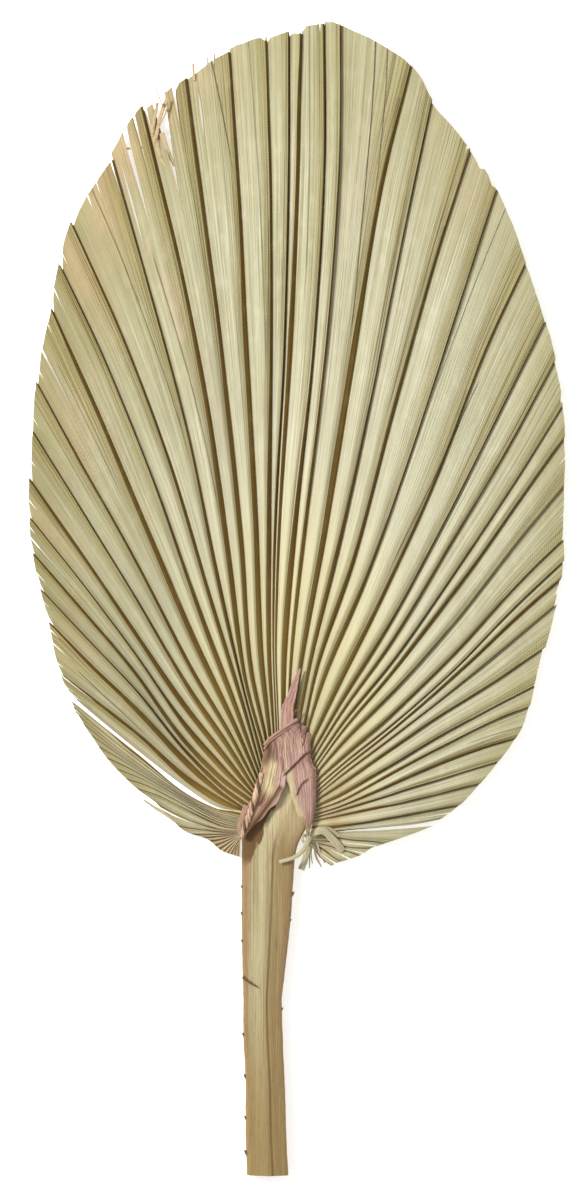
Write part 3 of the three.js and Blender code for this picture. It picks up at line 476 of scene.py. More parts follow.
class Paint:
    """A material under construction."""

    def __init__(self, name):
        self.material = bpy.data.materials.new(name)
        self.material.use_nodes = True
        self.tree = self.material.node_tree
        self.tree.nodes.clear()

    def add(self, kind, settings=None, inputs=None, output=0):
        """Adds a node of a type, sets its settings, then its sockets' values or links, and
        returns one of its outputs."""
        node = self.tree.nodes.new(kind)
        for key, value in (settings or {}).items():
            setattr(node, key, value)
        for key, value in (inputs or {}).items():
            if isinstance(value, Value):
                self.tree.links.new(value.socket, node.inputs[key])
            else:
                node.inputs[key].default_value = value
        return Value(self, node.outputs[output])

    def number(self, value):
        node = self.add("ShaderNodeValue")
        node.socket.default_value = value
        return node

    def attribute(self, name):
        return self.add("ShaderNodeAttribute", {"attribute_name": name}, output="Fac")

    def place(self):
        """Object coordinates in millimetres: X, Y and Z."""
        place = self.add("ShaderNodeTexCoord", output="Object")
        return [self.add("ShaderNodeSeparateXYZ", None, {0: place}, k) * 1000.0 for k in range(3)]

    def grain(self):
        """The piece's own map in millimetres: across and along its fibres."""
        grain = self.add("ShaderNodeUVMap", {"uv_map": "grain"})
        return [self.add("ShaderNodeSeparateXYZ", None, {0: grain}, k) for k in range(2)]

    def vector(self, x, y, z=0.0):
        return self.add("ShaderNodeCombineXYZ", None, {0: x, 1: y, 2: z})

    def noise(self, vector, detail=2.0, roughness=0.55):
        return self.add("ShaderNodeTexNoise", None,
                        {"Vector": vector, "Scale": 1.0, "Detail": detail, "Roughness": roughness})

    def mix(self, factor, a, b):
        return self.add("ShaderNodeMix", {"data_type": "RGBA", "clamp_factor": True},
                        {0: factor, 6: tint(a), 7: tint(b)}, 2)

    def bump(self, height, strength, distance):
        return self.add("ShaderNodeBump", None,
                        {"Height": height, "Strength": strength, "Distance": distance})

    def finish(self, colour, roughness, normal, glow=0.0):
        shader = self.add("ShaderNodeBsdfPrincipled", None, {
            "Base Color": colour, "Roughness": roughness, "Normal": normal,
            "Specular IOR Level": 0.16, "Emission Color": (1, 1, 1, 1), "Emission Strength": glow})
        output = self.tree.nodes.new("ShaderNodeOutputMaterial")
        self.tree.links.new(shader.socket, output.inputs["Surface"])
        return self.material


def tint(colour):
    """A colour as four numbers, or a link as it is."""
    return colour if isinstance(colour, Value) else (*colour[:3], 1.0)


# Blade

def on_guide(guides, n, share):
    """The place on guide n at a share of its length: the cubic Hermite curve through its points,
    with slopes taken from the points before and after."""
    i = np.clip(np.searchsorted(STATIONS, share, side="right") - 1, 0, len(STATIONS) - 2)
    h = STATIONS[i + 1] - STATIONS[i]
    t = ((share - STATIONS[i]) / h)[..., None]
    near = np.maximum(np.arange(len(STATIONS)) - 1, 0)
    far = np.minimum(np.arange(len(STATIONS)) + 1, len(STATIONS) - 1)
    slopes = (guides[:, far] - guides[:, near]) / (STATIONS[far] - STATIONS[near])[:, None]
    p, q = guides[n, i], guides[n, i + 1]
    m, k = slopes[n, i] * h[..., None], slopes[n, i + 1] * h[..., None]
    return ((2 * t ** 3 - 3 * t ** 2 + 1) * p + (t ** 3 - 2 * t ** 2 + t) * m
            + (3 * t ** 2 - 2 * t ** 3) * q + (t ** 3 - t ** 2) * k)


def in_fan(guides, g, share):
    """The place between guides, g counted in guides: a Catmull-Rom curve across four of them."""
    g, share = np.broadcast_arrays(g, share)
    i = np.clip(np.floor(g).astype(int), 0, len(guides) - 2)
    t = (g - i)[..., None]
    a, b, c, d = (on_guide(guides, np.clip(i + k, 0, len(guides) - 1), share) for k in (-1, 0, 1, 2))
    return 0.5 * (2 * b + (c - a) * t + (2 * a - 5 * b + 4 * c - d) * t ** 2
                  + (3 * b - a - 3 * c + d) * t ** 3)


def pleat_marks(width, share, breadth, joint):
    """Where a pleat of a width has its crest and the top of its shaded side, as shares of the
    width, and that top's height as a share of the depth. Near the joint the shaded side takes
    up to two thirds of the pleat, times the share joint. Further out it is 2.5 to 1.6 mm times
    the fold's breadth, and less at the rim."""
    near = 3.5 * (1 - np.exp(-width / 3.4)) * joint
    far = breadth * (2.5 - 0.9 * smoothstep(share, 0.35, 0.8)) * (1 - 0.45 * smoothstep(share, 0.85, 1))
    shaded = near + (far - near) * smoothstep(share, 0.12, 0.42 + 0.5 * np.clip(joint - 0.7, 0, 1))
    shaded = np.maximum(shaded, 0.15 + 0.11 * np.clip(width - 1, 0, 5))
    shaded = np.minimum(shaded, 0.68 * joint * width)
    top = 1 - shaded / width
    wide = smoothstep(width, 4, 12)
    crest = np.minimum(top - 0.06, 0.4 + 0.12 * wide)
    return crest, top, 0.95 - 0.22 * wide


def breadths(name, fold):
    """A fold's breadth and its share near the joint, which falls to the main fan's right."""
    if name == "main_fan":
        return BREADTHS.get(fold, USUAL_BREADTH), 1 - 0.3 * smoothstep(fold, 9, 18)
    if fold == 9:
        return 2.2, 0.9
    return 0.16 if fold % 1 else 0.4, 0.4


def fan_columns(name, folds, slits, guides):
    """The mesh's columns across one fan: (pleat, place across it, side of a slit, slit)."""
    columns = []
    for pleat in range(len(folds) - 1):
        near, far = folds[pleat], folds[pleat + 1]
        marks = [(a, 0, None) for a in ACROSS]
        for slit in slits:
            if near <= slit[0] < far:
                share = (slit[1] + slit[2]) / 2
                ends = in_fan(guides, np.array([near, far]), share)
                crest, top, _ = pleat_marks(np.linalg.norm(ends[1] - ends[0]), share, *breadths(name, far))
                a = np.interp((slit[0] - near) / (far - near), [0, crest, top, 1],
                              [0, CREST, SHADED_TOP, 1])
                marks = [m for m in marks if m[2] or abs(m[0] - a) > 0.03]
                marks += [(a, -1, slit), (a, 1, slit)]
        columns += [(pleat, *m) for m in sorted(marks, key=lambda m: (m[0], m[1]))]
    return columns + [(len(folds) - 2, 1.0, 0, None)]


def fan_surface(name):
    """The lower face of one fan's pleats.

    A column runs along the fan at a place across its pleat. Its plan is the fan's own at that
    place. Its height is the pleat's profile, the lower of three lines with rounded corners (up
    to the crest, gently down to the top of the shaded side, steeply down to the next fold),
    times the pleat's depth, and over that the lift at the hub and the wave of the rim. At the
    rim the pleats are trimmed unevenly, their ends are ragged, and those on the main fan's left
    are notched beside their first fold.
    """
    guides, inner, folds, slits = FANS[name]
    main = name == "main_fan"
    if main:
        slits = slits + [(place, start, 1, gap) for place, start, gap in RIM_SLITS]
    settings = bpy.context.scene.palm_blade
    columns = fan_columns(name, folds, slits, guides)
    share = np.where(SHARES > 0, SHARES, inner)[None, :]
    pleat = np.array([c[0] for c in columns])[:, None]
    place = np.array([c[1] for c in columns])[:, None]
    side = np.array([c[2] for c in columns])[:, None]
    near, far = np.array(folds)[pleat], np.array(folds)[pleat + 1]
    a, b = in_fan(guides, near, share), in_fan(guides, far, share)
    width = np.linalg.norm(b - a, axis=-1)
    breadth, joint = np.moveaxis(np.array([breadths(name, fold) for fold in folds])[pleat + 1], -1, 0)
    breadth = breadth * (1 + 0.22 * ripples(pleat * 3.1, share * 6, 71))
    if name == "left_lobe":
        breadth = breadth * (1 - 0.85 * smoothstep(share, 0.5, 0.8) * (far == 9))
    crest, top, top_height = pleat_marks(width, share, breadth, joint)
    low = place / CREST * crest
    middle = crest + (place - CREST) / (SHADED_TOP - CREST) * (top - crest)
    high = top + (place - SHADED_TOP) / (1 - SHADED_TOP) * (1 - top)
    u = np.where(place <= CREST, low, np.where(place <= SHADED_TOP, middle, high))
    g = near + (far - near) * u
    trim = TRIM * (draw(pleat, len(guides)) - 0.6) * smoothstep(share, 0.9, 1)
    column = np.arange(len(columns))[:, None]
    ragged = RAGGED * (1 + draw(column, 5)) + SHORT_FIBRE * (draw(column, 8) > 0.93)
    if main:
        notch = NOTCH * (1.2 + draw(pleat, 3)) * (1 - smoothstep(u, 0.02, 0.3)) * (1 - smoothstep(g, 7.5, 9))
        trim = trim - notch * smoothstep(share, 0.96, 1)
    p = in_fan(guides, g, share * (1 + trim - ragged * smoothstep(share, 0.985, 1)))
    slit = [c[3] for c in columns]
    start = np.array([s[1] if s else 2.0 for s in slit])[:, None]
    end = np.array([s[2] if s else 3.0 for s in slit])[:, None]
    widest = np.array([s[3] if s else 0.0 for s in slit])[:, None]
    opening = np.where(end == 1, (share - start) / (1 - start),
                       np.sin(np.pi * np.clip((share - start) / (end - start), 0, 1)))
    opening = widest * np.where(share > start, np.clip(opening, 0, None), 0) * (share < end + (end == 1))
    along = in_fan(guides, g + 0.05, share) - in_fan(guides, g - 0.05, share)
    along /= np.linalg.norm(along, axis=-1)[..., None]
    p = p + (side * opening / 2)[..., None] * along
    turned = np.clip((u - crest) / (top - crest), 0, 1)
    profile = softer(softer(u / crest, 1 - (1 - top_height) * turned ** 1.7, 0.3),
                     top_height * (1 - u) / (1 - top), 0.08)
    steepest = 0.74 - 0.26 * smoothstep(g, 12, 20) if main else 0.34
    depth = np.minimum(settings.pleat_depth * 1000, steepest * width) * (1 - 0.3 * np.clip(share, 0, 1))
    uneven = 1 - 0.12 * (1 + ripples(pleat * 2.3, share * 5, 3)) / 2
    if name == "left_lobe":
        uneven = uneven * (1 - 0.75 * smoothstep(share, 0.25, 0.6) * smoothstep(g, 3.2, 4.2))
    lift = HUB_LIFT * (1 - smoothstep(share, 0, 0.3))
    rest = np.zeros_like(g)
    if main:
        for fold, where in LOW_POINTS:
            rest = np.maximum(rest, np.exp(-((g - fold) / 1.5) ** 2 - ((share - where) / 0.2) ** 2))
    wave = RIM_WAVE * (1 + np.sin(g * 1.1 + len(guides))) / 2 * np.clip(share, 0, 1) ** 2
    z = lift + (VALLEY_HEIGHT + wave) * (1 - rest) + depth * np.clip(profile, 0, 1) * uneven
    points = np.concatenate([p, z[..., None]], -1)
    return columns, points, {
        "width": width, "u": u, "top": top, "share": np.broadcast_to(share, u.shape), "g": g,
        "opening": opening, "pleat": np.broadcast_to(pleat, u.shape), "near": near, "far": far,
        "turned": np.clip((u - crest * 0.8) / (top - crest * 0.8), 0, 1),
    }


def join_fans(first, second, held, free):
    """Brings the last column of one fan and the first of the next to their mean where the two
    hold together, and lets each back to its own place where they come free."""
    keep = 1 - np.clip((SHARES - held) / (free - held), 0, 1)[:, None]
    mean = (first[-1] + second[0]) / 2
    first[-1] += (mean - first[-1]) * keep
    second[0] += (mean - second[0]) * keep


def index_fan(columns, opening):
    """Vertex numbers of a fan, where the two sides of a slit are one until it opens, and which
    gaps between columns stay empty."""
    index = grid_index(len(columns), len(SHARES))
    gaps = np.zeros(len(columns) - 1, bool)
    for c in range(1, len(columns)):
        if columns[c][3] and columns[c][3] == columns[c - 1][3]:
            gaps[c - 1] = True
            shut = opening[c] <= 0
            index[c][shut] = index[c - 1][shut]
    return index, gaps


def photo_plan(x, y):
    """Plan millimetres of a place that was read off in the picture's pixels."""
    return (np.asarray(x) - ORIGIN_PIXEL[0]) * PIXEL, (ORIGIN_PIXEL[1] - np.asarray(y)) * PIXEL


def blots(xy, marks):
    """How much of any blot covers each place: soft ellipses (x, y, across, along, strength) in
    picture pixels, drawn out along the way from the joint."""
    total = np.zeros(xy.shape[:-1])
    joint = np.array(photo_plan(*JOINT_PIXEL))
    for x, y, across, along, strength in marks:
        centre = np.array(photo_plan(x, y))
        way = (centre - joint) / np.linalg.norm(centre - joint)
        d = xy - centre
        v = d @ way / (along * PIXEL)
        u = (d[..., 0] * way[1] - d[..., 1] * way[0]) / (across * PIXEL)
        total += strength * np.exp(-(u * u + v * v))
    return np.clip(total, 0, 1)


# Small straight creases beside the folds of the main fan, each with a line of painted shade: the
# (place, share) of their outer and inner ends, and how dark they are
CREASES = [
    ((14.5, 1), (14.82, 0.55), 1.0), ((14.66, 1), (14.97, 0.765), 0.7), ((18.3, 1), (18.05, 0.6), 0.8),
    ((19.1, 0.78), (18.73, 0.33), 0.9), ((10.56, 1), (10.88, 0.8), 0.9), ((13.2, 1), (13.3, 0.6), 0.6),
    ((16.82, 1), (16.85, 0.7), 0.6), ((8.3, 0.84), (8.7, 0.36), 0.8), ((7.5, 1), (7.8, 0.5), 0.7),
    ((1.5, 0.9), (1.2, 0.5), 0.9), ((5.6, 0.95), (5.6, 0.62), 0.6), ((4.8, 1), (4.8, 0.7), 0.5),
    ((22.75, 1), (22.7, 0.78), 0.5), ((25.6, 1), (25.4, 0.7), 0.6), ((20.3, 1), (20.3, 0.7), 0.45),
    ((11.5, 1), (11.75, 0.5), 0.5), ((9.7, 1), (9.8, 0.45), 0.5), ((15.8, 1), (15.9, 0.5), 0.5),
]


# Patches in the blade's colour: picture pixels of the middle, half sizes in pixels across and
# along the way from the joint, strength
TAN_MARKS = [
    (100, 196, 17, 60, 1.0), (124, 148, 18, 40, 1.0), (160, 110, 22, 34, 0.8), (196, 80, 18, 40, 0.5),
    (70, 260, 14, 50, 0.7), (100, 300, 16, 60, 0.4), (50, 400, 14, 60, 0.4), (44, 520, 14, 70, 0.45),
    (60, 640, 16, 50, 0.45), (240, 845, 16, 22, 0.9), (222, 842, 26, 20, 0.6), (328, 812, 14, 30, 0.9),
    (322, 842, 18, 22, 0.5), (235, 60, 12, 40, 0.3), (300, 840, 14, 14, 0.6), (120, 745, 30, 60, 0.25),
    (475, 190, 20, 60, 0.3), (440, 110, 20, 60, 0.25), (345, 788, 16, 26, 0.6), (200, 768, 12, 40, 0.5),
    (360, 745, 14, 30, 0.3),
]
PINK_MARKS = [
    (172, 300, 6, 60, 0.8), (190, 340, 5, 50, 0.7), (140, 230, 8, 50, 0.5), (366, 160, 12, 60, 0.55),
    (350, 210, 8, 50, 0.4), (215, 395, 6, 60, 0.5), (88, 420, 9, 50, 0.8), (60, 470, 7, 30, 0.5),
    (398, 330, 8, 60, 0.2), (225, 835, 14, 14, 0.6),
]
STAIN_MARKS = [
    (81, 455, 5, 20, 0.9), (92, 476, 4, 14, 0.7), (122, 518, 6, 7, 1.0), (148, 515, 4, 7, 0.8),
    (74, 418, 6, 16, 0.6), (80, 600, 5, 9, 0.9), (72, 616, 5, 10, 0.8), (76, 682, 5, 8, 0.7),
    (96, 380, 3, 40, 0.6), (106, 425, 3, 30, 0.7), (176, 180, 3, 50, 0.5), (150, 545, 4, 12, 0.3),
    (60, 250, 6, 20, 0.5), (214, 460, 2, 40, 0.3),
]
# How dark the painted shade line in a fold is: the usual value, that in the lobes, and folds that differ
USUAL_LINE_SHADE, LOBE_LINE_SHADE = 0.75, 0.4
FOLD_LINE_SHADES = {12: 0.35, 12.65: 1, 13.63: 1, 14: 0.5, 18: 1, 19.6: 0.9, 20.6: 1, 16: 1, 2.5: 0.9, 3.5: 1,
          21.45: 0.9, 22.5: 0.9, 23.4: 0.9, 28: 0.6, 29: 0}


def blade_piece(name, columns, points, facts, material):
    """One fan as a closed shell with what its material reads at each vertex."""
    index, gaps = index_fan(columns, facts["opening"])
    thickness = bpy.context.scene.palm_blade.thickness * 1000
    vertices, quads, source, under = closed_sheet(points.reshape(-1, 3), index, gaps, thickness)
    xy = points[..., :2]
    width, u, share, g = facts["width"], facts["u"], facts["share"], facts["g"]
    fold = np.where(u > 0.5, facts["pleat"] + 1, facts["pleat"])
    folds = np.array(FANS[name][2])
    main = name == "main_fan"
    # How strong the painted shade line in each fold is
    crease_line_shade = np.array([FOLD_LINE_SHADES.get(place, USUAL_LINE_SHADE) if main else LOBE_LINE_SHADE for place in folds])[fold]
    crease_line_shade = crease_line_shade * (0.75 + 0.4 * ripples(fold * 2.7, share * 7, 91)) * smoothstep(width, 0.4, 2.2)
    if main:
        crease_line_shade = crease_line_shade * (1 - 0.75 * smoothstep(g, 17, 22) * (width > 2.5))
        crease_line_shade = crease_line_shade * (1 - 0.55 * (1 - smoothstep(g, 6, 10)) * smoothstep(share, 0.5, 0.8))
    comb = (folds[fold] % 1 > 0) * (1 - smoothstep(g, 3.2, 4.2) * (0.35 + 0.6 * smoothstep(share, 0.25, 0.6)))
    row = np.argmin(np.abs(SHARES - MAP_SHARE))
    step = np.linalg.norm(np.diff(xy[:, row], axis=0), axis=-1)
    across = np.concatenate([[0], np.cumsum(step)])[:, None] + 0 * share
    along = share * np.linalg.norm(xy[:, -1] - xy[:, 0], axis=-1)[:, None]
    attributes = {
        "shaded": (u - facts["top"]) * width,
        "turned": facts["turned"],
        "fold": np.minimum(u, 1 - u) * width,
        "width": width,
        "comb": comb * (not main),
        "share": share,
        "crease_line_shade": crease_line_shade,
        "place": g if main else g * 0 + LOBE_PLACE,
        "step": width / (facts["far"] - facts["near"]),
        "tan": blots(xy, TAN_MARKS),
        "pink": blots(xy, PINK_MARKS),
        "stain": blots(xy, STAIN_MARKS),
    }
    attributes = {key: value.reshape(-1)[source] for key, value in attributes.items()}
    attributes["under"] = under
    uv = np.stack([across, along], -1).reshape(-1, 2)[source]
    piece = mesh_piece("blade_" + name, vertices, quads, material, uv, attributes)
    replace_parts(piece, "blade")


def leaf_material(settings):
    """Straw-green leaf. Fine veins run along the fibres; past its crest a pleat turns olive, as painted
    shade, with dark fine lines and faint slanting ribs; its shaded side carries painted shade, olive
    near the joint, dark brown further out and darker towards the fold; thin dark lines of painted
    shade lie in the folds and in short creases beside some of them; the lobes' thin pleats have
    painted shade in their folds and a painted highlight on their crests; a pale line, painted
    highlight and partly a worn edge, runs along the top of each shaded side; and there are tan,
    pink and orange patches."""
    paint = Paint("dried_leaf_blade")
    across, along = paint.grain()
    x, y, _ = paint.place()
    shaded = paint.attribute("shaded")
    turned = paint.attribute("turned")
    fold = paint.attribute("fold")
    width = paint.attribute("width")
    share = paint.attribute("share")
    upper = 1.0 - paint.attribute("under")
    place = paint.attribute("place")
    step = paint.attribute("step")
    tan = paint.attribute("tan")
    veins = paint.noise(paint.vector(across * 1.9, along * 0.012), 2.0, 0.7)
    ribs = paint.noise(paint.vector(across * 0.75, along * 0.006, 7.0), 2.0)
    broad = paint.noise(paint.vector(x * 0.03, y * 0.012, 3.0), 2.0)
    mottle = paint.noise(paint.vector(x * 0.22, y * 0.1, 9.0), 3.0)
    speckle = paint.noise(paint.vector(x * 1.1, y * 0.9, 2.0), 3.0, 0.7)
    lines = paint.noise(paint.vector(across * 1.5, along * 0.008, 5.0), 2.0, 0.7)
    face = paint.mix(veins.between(0.4, 0.6), settings.face_dark, settings.face_light)
    face = paint.mix(ribs.between(0.5, 0.6) * 0.5, face, settings.face_olive)
    face = paint.mix(broad.between(0.4, 0.7) * 0.3, face, settings.face_olive)
    face = paint.mix(mottle.between(0.45, 0.75) * 0.35, face, settings.face_cream_and_highlight)
    lobe = place.between(-4.0, -8.0)
    streak = 0.45 + veins * 0.9
    pale = (share.between(0.7, 0.3) * 0.6 + x.between(-20.0, 70.0) * 0.2) * streak
    face = paint.mix(pale, face, settings.face_cream_and_highlight)
    face = paint.mix((share.between(0.45, 0.12) * 0.8 + lobe * 0.3) * streak, face, settings.face_warm)
    rim = share.between(0.72, 1.0) * 0.55 + x.between(-25.0, -95.0) * 0.4
    face = paint.mix(rim, face, settings.face_olive)
    thin = lines.between(0.56, 0.63) * share.between(0.25, 0.5)
    face = paint.mix(thin * 0.34, face, settings.line)
    face = paint.mix(tan * (mottle.between(0.3, 0.62) * 0.45 + 0.35), face, settings.tan)
    pink = paint.attribute("pink") * mottle.between(0.35, 0.62)
    face = paint.mix(pink * 0.6, face, settings.pink)
    stain = paint.attribute("stain") * speckle.between(0.42, 0.6)
    face = paint.mix(stain * 0.75, face, settings.stain)
    # Painted shade: past its crest a pleat's face turns olive towards the top of its shaded side, as it turns
    # away from the light
    slope = turned.between(0.05, 1.0)
    olive = paint.mix(tan * 0.7, settings.turned, settings.turned_tan_shade)
    slope_shade = slope * (0.28 + ribs * 0.45 + share.between(0.4, 0.1) * 0.25) * (1.0 - lobe * 0.5)
    face = paint.mix(slope_shade, face, olive)
    dark_lines = lines.between(0.52, 0.6) * turned.between(0.3, 0.8) * width.between(3.5, 7.0)
    face = paint.mix(dark_lines * 0.65, face, settings.line)
    # Painted shade: the pleat's shaded side gets olive colour near the joint and dark brown further out,
    # darker towards its fold and tan-brown in the tan parts, for the shade it lies in
    far = share.between(0.12, 0.32)
    deep = fold.between(1.8, 0.25)
    shade = paint.mix(deep * 0.85 + x.between(6.0, -22.0) * 0.35, settings.shade_olive, settings.shade_brown)
    band = paint.mix(veins.between(0.4, 0.7) * 0.5, settings.shade_deep, settings.shade_brown)
    band = paint.mix(mottle.between(0.5, 0.75) * 0.35, band, settings.shade_olive)
    shade = paint.mix(far * (0.75 + deep * 0.25), shade, band)
    shade = paint.mix(tan * 0.35, shade, settings.turned_tan_shade)
    side = shaded.between(-0.1, 0.12)
    colour = paint.mix(side * upper, face, shade)
    # Painted shade and painted highlight: the lobes' thin pleats get brown in their folds and cream on their
    # crests
    comb = paint.attribute("comb") * upper
    across_comb = fold / width
    colour = paint.mix(comb * across_comb.between(0.34, 0.14) * 0.85, colour, settings.shade_brown)
    colour = paint.mix(comb * across_comb.between(0.36, 0.47) * 0.7, colour, settings.face_cream_and_highlight)
    # Painted highlight, partly a worn edge: a pale line along the top of each shaded side, fading out towards
    # the rim
    edge = abs(shaded + 0.2).between(0.24, 0.02) * (0.5 + veins * 0.5)
    colour = paint.mix(edge * upper * share.between(0.75, 0.3), colour, settings.face_cream_and_highlight)
    dots = paint.noise(paint.vector(across * 0.2, along * 1.6, 1.0), 1.0)
    # Painted shade: a thin dark dotted line along the bottom of each fold
    crease_line_shade = fold.between(0.3, 0.08) * paint.attribute("crease_line_shade") * share.between(0.02, 0.2)
    colour = paint.mix(crease_line_shade * upper * dots.between(0.24, 0.42), colour, settings.crease_line_shade)
    # Painted shade: a dark line in each short crease, which the bump also sinks
    line = paint.number(0.0)
    for (outer, share_out), (inner, share_in), power in CREASES:
        slant = (outer - inner) / (share_out - share_in)
        away = abs(place - share * slant - (inner - slant * share_in)) * step
        here = away.between(0.42, 0.12) * share.between(share_in, share_in + 0.08)
        if share_out < 1:
            here = here * share.between(share_out, share_out - 0.03)
        line = line.math("MAXIMUM", line, here * power)
    colour = paint.mix(line * (0.4 + dots * 0.6) * upper, colour, settings.crease_line_shade)
    hatch = ((across * 3.1 + along * 5.2).sine() * 0.5 + 0.5) * slope.between(0.05, 0.5)
    relief = veins * 0.8 + ribs * 1.3 + lines * 0.9 + hatch * 0.22 - line
    normal = paint.bump(relief, 0.8, 0.0007)
    roughness = 0.56 + veins * 0.14
    return paint.finish(colour, roughness, normal)


def strip_material(settings):
    """Loose strips of leaf: the blade's straw green with tan mottling, tan and brown blotched where they lie
    far up the leaf.
    """
    paint = Paint("torn_leaf_strip")
    across, along = paint.grain()
    x, y, _ = paint.place()
    veins = paint.noise(paint.vector(across * 3.0, along * 0.06), 2.0, 0.7)
    mottle = paint.noise(paint.vector(x * 0.35, y * 0.35, 4.0), 3.0)
    colour = paint.mix(veins.between(0.36, 0.66), settings.face_olive, settings.face_light)
    colour = paint.mix(mottle.between(0.4, 0.7) * 0.6, colour, settings.tan)
    upper = y.between(120.0, 190.0)
    colour = paint.mix(upper * 0.75, colour, settings.tan)
    colour = paint.mix(upper * mottle.between(0.5, 0.7) * 0.6, colour, settings.shade_brown)
    normal = paint.bump(veins + mottle * 0.4, 0.5, 0.0004)
    return paint.finish(colour, 0.6 + veins * 0.1, normal)


# Stalk

def stalk_surface(rows=170, around=72):
    """The stalk's skin: rings along Y. A ring is the closed smooth curve through the profile's
    points and the two ends of its flat underside, stretched to the edges and the height at that
    place, with a sharper median ridge, lengthwise furrows and thin raised margins."""
    y = np.linspace(STALK_SECTIONS[0, 0], STALK_SECTIONS[-1, 0], rows)
    left, right, under = (np.interp(y, STALK_SECTIONS[:, 0], STALK_SECTIONS[:, k]) for k in (1, 2, 3))
    kernel = np.array([0.25, 0.5, 0.25])
    for _ in range(4):
        left[1:-1] = np.convolve(left, kernel, "valid")
        right[1:-1] = np.convolve(right, kernel, "valid")
    middle, half = (left + right) / 2, (right - left) / 2
    sections = len(STALK_SECTIONS)
    order = np.interp(y, STALK_SECTIONS[:, 0], np.arange(sections))
    height = STALK_HEIGHTS[0] + (STALK_HEIGHTS[1] - STALK_HEIGHTS[0]) * smoothstep(
        order, sections - 6, sections - 1)
    profile = np.vstack([STALK_PROFILE, [-0.3, 0.0], [0.3, 0.0]])
    closed = np.vstack([profile, profile[0]])
    ring = along_line(closed, around + 1)[:-1]
    across, rise = ring[:, 0], np.clip(ring[:, 1], 0, 1)
    over = rise > 0.55
    flat = np.abs(across) < 0.36
    x = middle[:, None] + half[:, None] * across
    z = height[:, None] * rise
    z = np.where((rise < 0.16)[None, :], under[:, None] + (z - under[:, None]) * (rise / 0.16) ** 2, z)
    z = np.where((flat & (rise < 0.1))[None, :], under[:, None], z)
    furrow = 0.12 * ripples(across * 9, y[:, None] * 0.012, 21) * over
    edge = 0.22 * smoothstep(np.abs(across), 0.8, 0.93) * (1 - smoothstep(np.abs(across), 0.93, 1)) * over
    groove = -0.35 * np.exp(-((across - 0.2 - 0.05 * np.sin(y[:, None] * 0.02)) / 0.05) ** 2) * over
    z = z + np.minimum(furrow + edge + groove, 0.1)
    x = x + 0.12 * ripples(y[:, None] * 0.16, across, 31) * (np.abs(across) > 0.85)
    points = np.stack([x, np.broadcast_to(y[:, None], x.shape), z], -1)
    return points, across


def stalk_mesh(material):
    """Rings joined by quads, and at each end rings that shrink to a small one, closed by quads
    across it, with the cut end's fibres standing a little uneven."""
    points, across = stalk_surface()
    rows, around = points.shape[:2]
    rings = [points[k] for k in range(rows)]
    shares = [0.93, 0.75, 0.5, 0.25, 0.06]

    def cap(ring, outward):
        centre = ring.mean(axis=0)
        made = []
        for share in shares:
            inner = centre + (ring - centre) * share
            inner[:, 1] = ring[:, 1] - outward * (0.12 + 0.25 * (1 + draw(np.arange(around), share * 90)))
            made.append(inner)
        return made

    low, high = cap(rings[0], -1.0), cap(rings[-1], 1.0)
    rings = low[::-1] + rings + high
    vertices = np.concatenate(rings)
    index = grid_index(len(rings), around)
    turned = np.roll(index, -1, axis=1)
    quads = np.stack([index[:-1], index[1:], turned[1:], turned[:-1]], -1).reshape(-1, 4)
    k = np.arange(around // 2 - 1)
    for ring, flip in ((index[0], False), (index[-1], True)):
        lid = np.stack([ring[k], ring[k + 1], ring[-k - 2], ring[-k - 1]], -1)
        quads = np.concatenate([quads, lid[:, ::-1] if flip else lid])
    ends = np.repeat([1.0] * len(shares) + [0.0] * rows + [0.0] * len(shares), around)
    place = np.tile(across, len(rings))
    uv = np.stack([np.tile(np.arange(around) * 0.6, len(rings)), vertices[:, 1]], -1)
    probe = vertices[quads]
    normal = np.cross(probe[:, 1] - probe[:, 0], probe[:, 3] - probe[:, 0])
    outward = (normal * (probe.mean(axis=1) - vertices.mean(axis=0)))[:, [0, 2]].sum()
    if outward < 0:
        quads = quads[:, ::-1]
    attributes = {"place": place, "cut": ends}
    piece = mesh_piece("petiole_stalk", vertices, quads, material, uv, attributes, 45)
    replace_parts(piece, "petiole")


def cones(name, roots, tips, radii, material, around=8, steps=5):
    """Stubs of spines: rings from a root inside what carries them to a blunt tip. A ring's radius
    falls with the 2.2th power of the share of the length, and the line bends to the leaf's tip
    with its square."""
    roots, tips = np.asarray(roots, float), np.asarray(tips, float)
    s = np.linspace(0, 1, steps)
    way = tips - roots
    side = np.cross(way, [0, 0, 1.0])
    side /= np.linalg.norm(side, axis=1)[:, None]
    up = np.cross(side, way)
    up /= np.linalg.norm(up, axis=1)[:, None]
    angle = np.linspace(0, 2 * np.pi, around, endpoint=False)
    centre = roots[:, None] + way[:, None] * s[None, :, None]
    centre[..., 1] += 0.35 * (s ** 2)[None, :]
    radius = np.asarray(radii)[:, None] * (1 - 0.85 * s ** 2.2)[None, :]
    offset = (np.cos(angle)[None, :, None] * side[:, None] + np.sin(angle)[None, :, None] * up[:, None])
    points = centre[:, :, None] + radius[..., None, None] * offset[:, None]
    count = len(roots)
    index = np.arange(count * steps * around).reshape(count, steps, around)
    turned = np.roll(index, -1, axis=2)
    quads = np.stack([index[:, :-1], index[:, 1:], turned[:, 1:], turned[:, :-1]], -1).reshape(-1, 4)
    lids = []
    for ring, flip in ((index[:, 0], True), (index[:, -1], False)):
        for k in range(around // 2 - 1):
            lid = np.stack([ring[:, k], ring[:, k + 1], ring[:, -k - 2], ring[:, -k - 1]], -1)
            lids.append(lid if flip else lid[:, ::-1])
    quads = np.concatenate([quads, *lids])
    vertices = points.reshape(-1, 3)
    first = vertices[quads[0]]
    normal = np.cross(first[1] - first[0], first[3] - first[0])
    if normal @ (first.mean(axis=0) - centre[0, 0]) < 0:
        quads = quads[:, ::-1]
    root = np.tile(np.repeat(1 - s, around), count)
    uv = np.stack([np.tile(angle, count * steps), vertices[:, 1]], -1)
    return mesh_piece(name, vertices, quads, material, uv, {"root": root}, 60)


